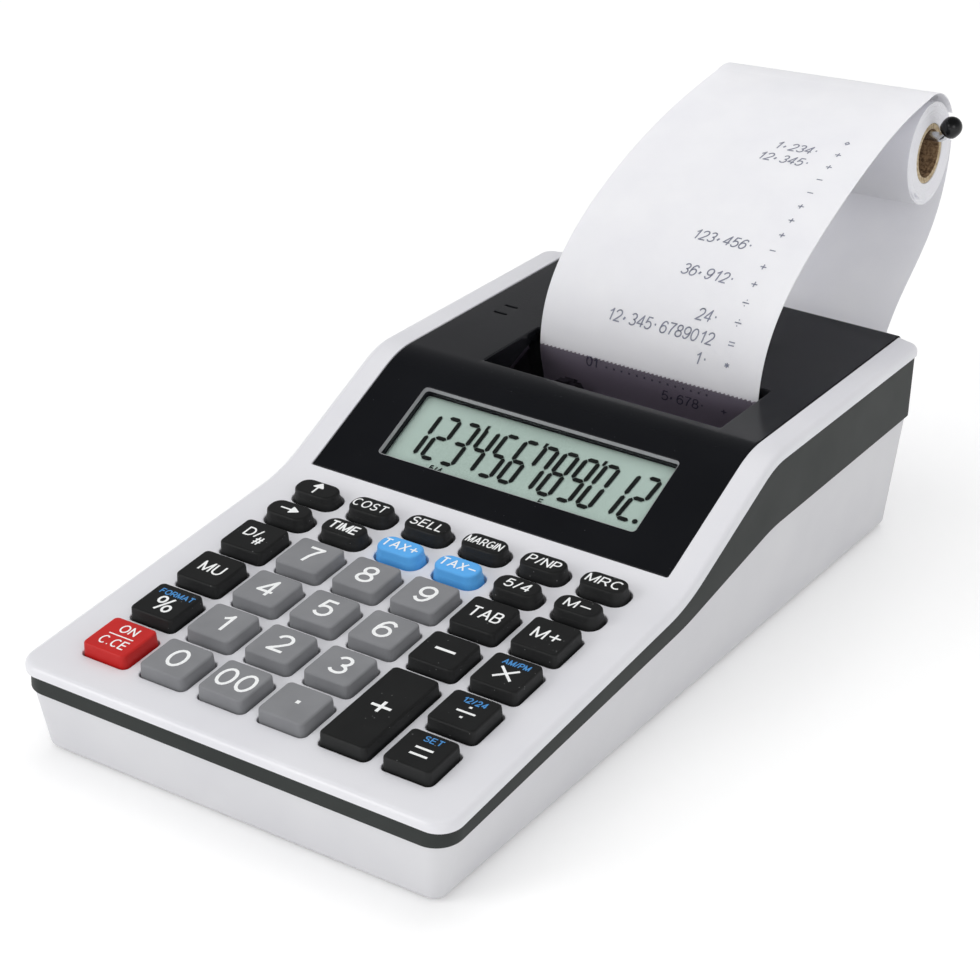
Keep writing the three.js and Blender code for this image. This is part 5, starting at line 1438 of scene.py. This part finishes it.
cap_angle = math.radians(55)
cap_setback, tip_length = 1.6, 3.5
cap_axis = Vector((math.cos(cap_angle), 0, math.sin(cap_angle)))
bar_end = Vector((end_x, roll_y, bar_height(end_x)))
corners = [
    Vector((-37.8, hinge_y, hinge_z)),
    Vector((upright_x, hinge_y, hinge_z)),
    Vector((upright_x, roll_y, bar_height(upright_x))),
    bar_end,
    bar_end + cap_axis * tip_length,
]
bend_reaches = (3, 3, 1.2)
wire = [corners[0]]
for i, bend in enumerate(bend_reaches):
    corner = corners[i + 1]
    enter = corner + (corners[i] - corner).normalized() * bend
    leave = corner + (corners[i + 2] - corner).normalized() * bend
    for k in range(13):
        t = k / 12
        wire.append(enter.lerp(corner, t).lerp(corner.lerp(leave, t), t))
wire.append(corners[-1])


def swept(points, radius, count=20):
    """A round wire along points, with softened ends."""
    tip = [(0, 0.25), (0.08, 0.08), (0.25, 0)]
    ways = [(b - a).normalized() for a, b in zip(points, points[1:])]
    ways.append(ways[-1])
    side = ways[0].orthogonal().normalized()
    rings = []
    for i, point in enumerate(points):
        way = (ways[max(i - 1, 0)] + ways[i]).normalized()
        side = (side - way * side.dot(way)).normalized()
        over = way.cross(side)
        sizes = [(0, radius)]
        if i == 0:
            sizes = [(shift, radius - less) for shift, less in tip]
        if i == len(points) - 1:
            sizes = [(-shift, radius - less) for shift, less in reversed(tip)]
        for shift, size in sizes:
            middle = point + way * shift
            rings.append([tuple(middle + side * a + over * b) for a, b in circle(0, 0, size, count)])
    return loft(rings)


paper_arm = piece("bent_wire_arm", [swept(wire, wire_radius)], [wire_steel], sharp=50)
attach(paper_arm, "paper_arm")
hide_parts("paper_arm")

# Dipped vinyl: black and shinier than the keys, with a round highlight
vinyl = rubber("dipped_black_vinyl", "#18191A", "#121314", 0.22)
cap_start = bar_end + cap_axis * cap_setback
cap_radius, cap_length, cap_dome = 2.5, 4.7, 2.5
# Along the cap's axis and out from it: the closed end of its bore, its rolled lip and its belly
cap_profile = [
    (2.2, 0.02),
    (2.2, 1.5),
    (0.05, 1.5),
    (0.0, 1.6),
    (0.1, 1.9),
    (0.45, 2.22),
    (1.0, 2.4),
    (1.6, 2.48),
]
cap_profile += [
    (cap_length - cap_dome + cap_dome * math.sin(t), max(cap_radius * math.cos(t), 0.02))
    for t in quarter(10)
]
cap_side = Vector((0, 1, 0))
cap_over = cap_axis.cross(cap_side)


def on_cap(along, radius, angle):
    """A place on the cap, turned about its own axis."""
    out = cap_side * math.cos(angle) + cap_over * math.sin(angle)
    return tuple(cap_start + cap_axis * along + out * radius)


arm_cap = piece("vinyl_end_cap", [turned(cap_profile, on_cap, 40)], [vinyl], sharp=50)
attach(arm_cap, "paper_arm")
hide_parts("arm_cap")

# Studio
# The photograph's white sweep: a plain floor that takes the shadow and shows white to the camera,
# soft lamps from above and from the front left, and a dim one from the front right.

# Floor paper: near white and dead matt
floor_paper, tree, place = new_material("studio_floor")
weave = add_node(tree, "ShaderNodeTexNoise", {"Vector": place, "Scale": 400, "Detail": 2})
tone = add_node(tree, "ShaderNodeValToRGB", {"Fac": weave}, [(0.3, "#FAFAFA"), (0.7, "#FCFCFC")])
lit = add_node(tree, "ShaderNodeBsdfDiffuse", {"Color": tone})


def backdrop_rays(tree):
    """One for a ray from the camera, a mirror or a clear sheet, else nought; and its path node."""
    path = add_node(tree, "ShaderNodeLightPath")
    seen = path.outputs["Is Camera Ray"]
    for way in ("Is Glossy Ray", "Is Transmission Ray"):
        seen = add_node(tree, "ShaderNodeMath", {0: seen, 1: path.outputs[way]}, operation="MAXIMUM")
    return seen, path


seen, _ = backdrop_rays(tree)
floor_glow = 0.16
lift = add_node(tree, "ShaderNodeMath", {0: seen, 1: floor_glow}, operation="MULTIPLY")
glow = add_node(tree, "ShaderNodeEmission", {"Color": (1, 1, 1, 1), "Strength": lift})
whole = add_node(tree, "ShaderNodeAddShader", {0: lit, 1: glow})
add_node(tree, "ShaderNodeOutputMaterial", {"Surface": whole})
floor_mesh = bpy.data.meshes.new("floor")
floor_half = 3.0
floor_corners = [(-floor_half, -floor_half, 0), (floor_half, -floor_half, 0)]
floor_corners += [(floor_half, floor_half, 0), (-floor_half, floor_half, 0)]
floor_mesh.from_pydata(floor_corners, [], [(0, 1, 2, 3)])
floor_mesh.materials.append(floor_paper)
floor = bpy.data.objects.new("floor", floor_mesh)
bpy.context.scene.collection.objects.link(floor)

world = bpy.data.worlds.new("studio")
bpy.context.scene.world = world
world.use_nodes = True
tree = world.node_tree
tree.nodes.clear()
seen, path = backdrop_rays(tree)
# The white sweep ends above the object: what a surface mirrors darkens from the horizon upward
direction = add_node(tree, "ShaderNodeTexCoord").outputs["Generated"]
upward = add_node(tree, "ShaderNodeSeparateXYZ", {"Vector": direction})
sweep = add_node(tree, "ShaderNodeValToRGB", {"Fac": upward.outputs["Z"]})
sweep.color_ramp.elements[0].position = 0.02
sweep.color_ramp.elements[0].color = (1, 1, 1, 1)
sweep.color_ramp.elements[1].position = 0.8
sweep.color_ramp.elements[1].color = (0.08, 0.08, 0.08, 1)
sweep.color_ramp.elements.new(0.42).color = (0.32, 0.32, 0.33, 1)
level = {"Factor": seen, colour_a: (0.62, 0.62, 0.62, 1), colour_b: sweep}
colour = add_node(tree, "ShaderNodeMix", level, data_type="RGBA").outputs[colour_out]
backdrop = {"Factor": path.outputs["Is Camera Ray"], colour_a: colour, colour_b: (1, 1, 1, 1)}
colour = add_node(tree, "ShaderNodeMix", backdrop, data_type="RGBA").outputs[colour_out]
sky = add_node(tree, "ShaderNodeBackground", {"Color": colour, "Strength": 1.0})
add_node(tree, "ShaderNodeOutputWorld", {"Surface": sky})


lamp_aim = Vector((0, 0, 0.03))


def soft_lamp(name, place, size, power, mirrored=True):
    """A square softbox that points at the object, and may stay out of reflections."""
    lamp = bpy.data.lights.new(name, "AREA")
    lamp.shape, lamp.size, lamp.energy = "SQUARE", size, power
    held = bpy.data.objects.new(name, lamp)
    held.location = place
    held.rotation_euler = (lamp_aim - Vector(place)).to_track_quat("-Z", "Y").to_euler()
    held.visible_glossy = mirrored
    bpy.context.scene.collection.objects.link(held)


soft_lamp("top_softbox", (-0.1, 0.3, 1.2), 0.9, 3.9, mirrored=False)
soft_lamp("front_softbox", (-0.6, -1.0, 0.55), 0.6, 4.0)
soft_lamp("side_softbox", (0.8, -0.7, 0.5), 0.5, 1.5)

camera = bpy.data.cameras.new("photograph")
camera.sensor_width, camera.lens, camera.sensor_fit = 36, 92.986, "HORIZONTAL"
viewer = bpy.data.objects.new("photograph", camera)
viewer.matrix_world = Matrix(
    (
        (0.840113, -0.263173, 0.474289, 0.25331),
        (0.541391, 0.353228, -0.762972, -0.438865),
        (0.033261, 0.897758, 0.439231, 0.2706),
        (0, 0, 0, 1),
    )
)
bpy.context.scene.collection.objects.link(viewer)
bpy.context.scene.camera = viewer
bpy.context.scene.view_settings.view_transform = "Standard"
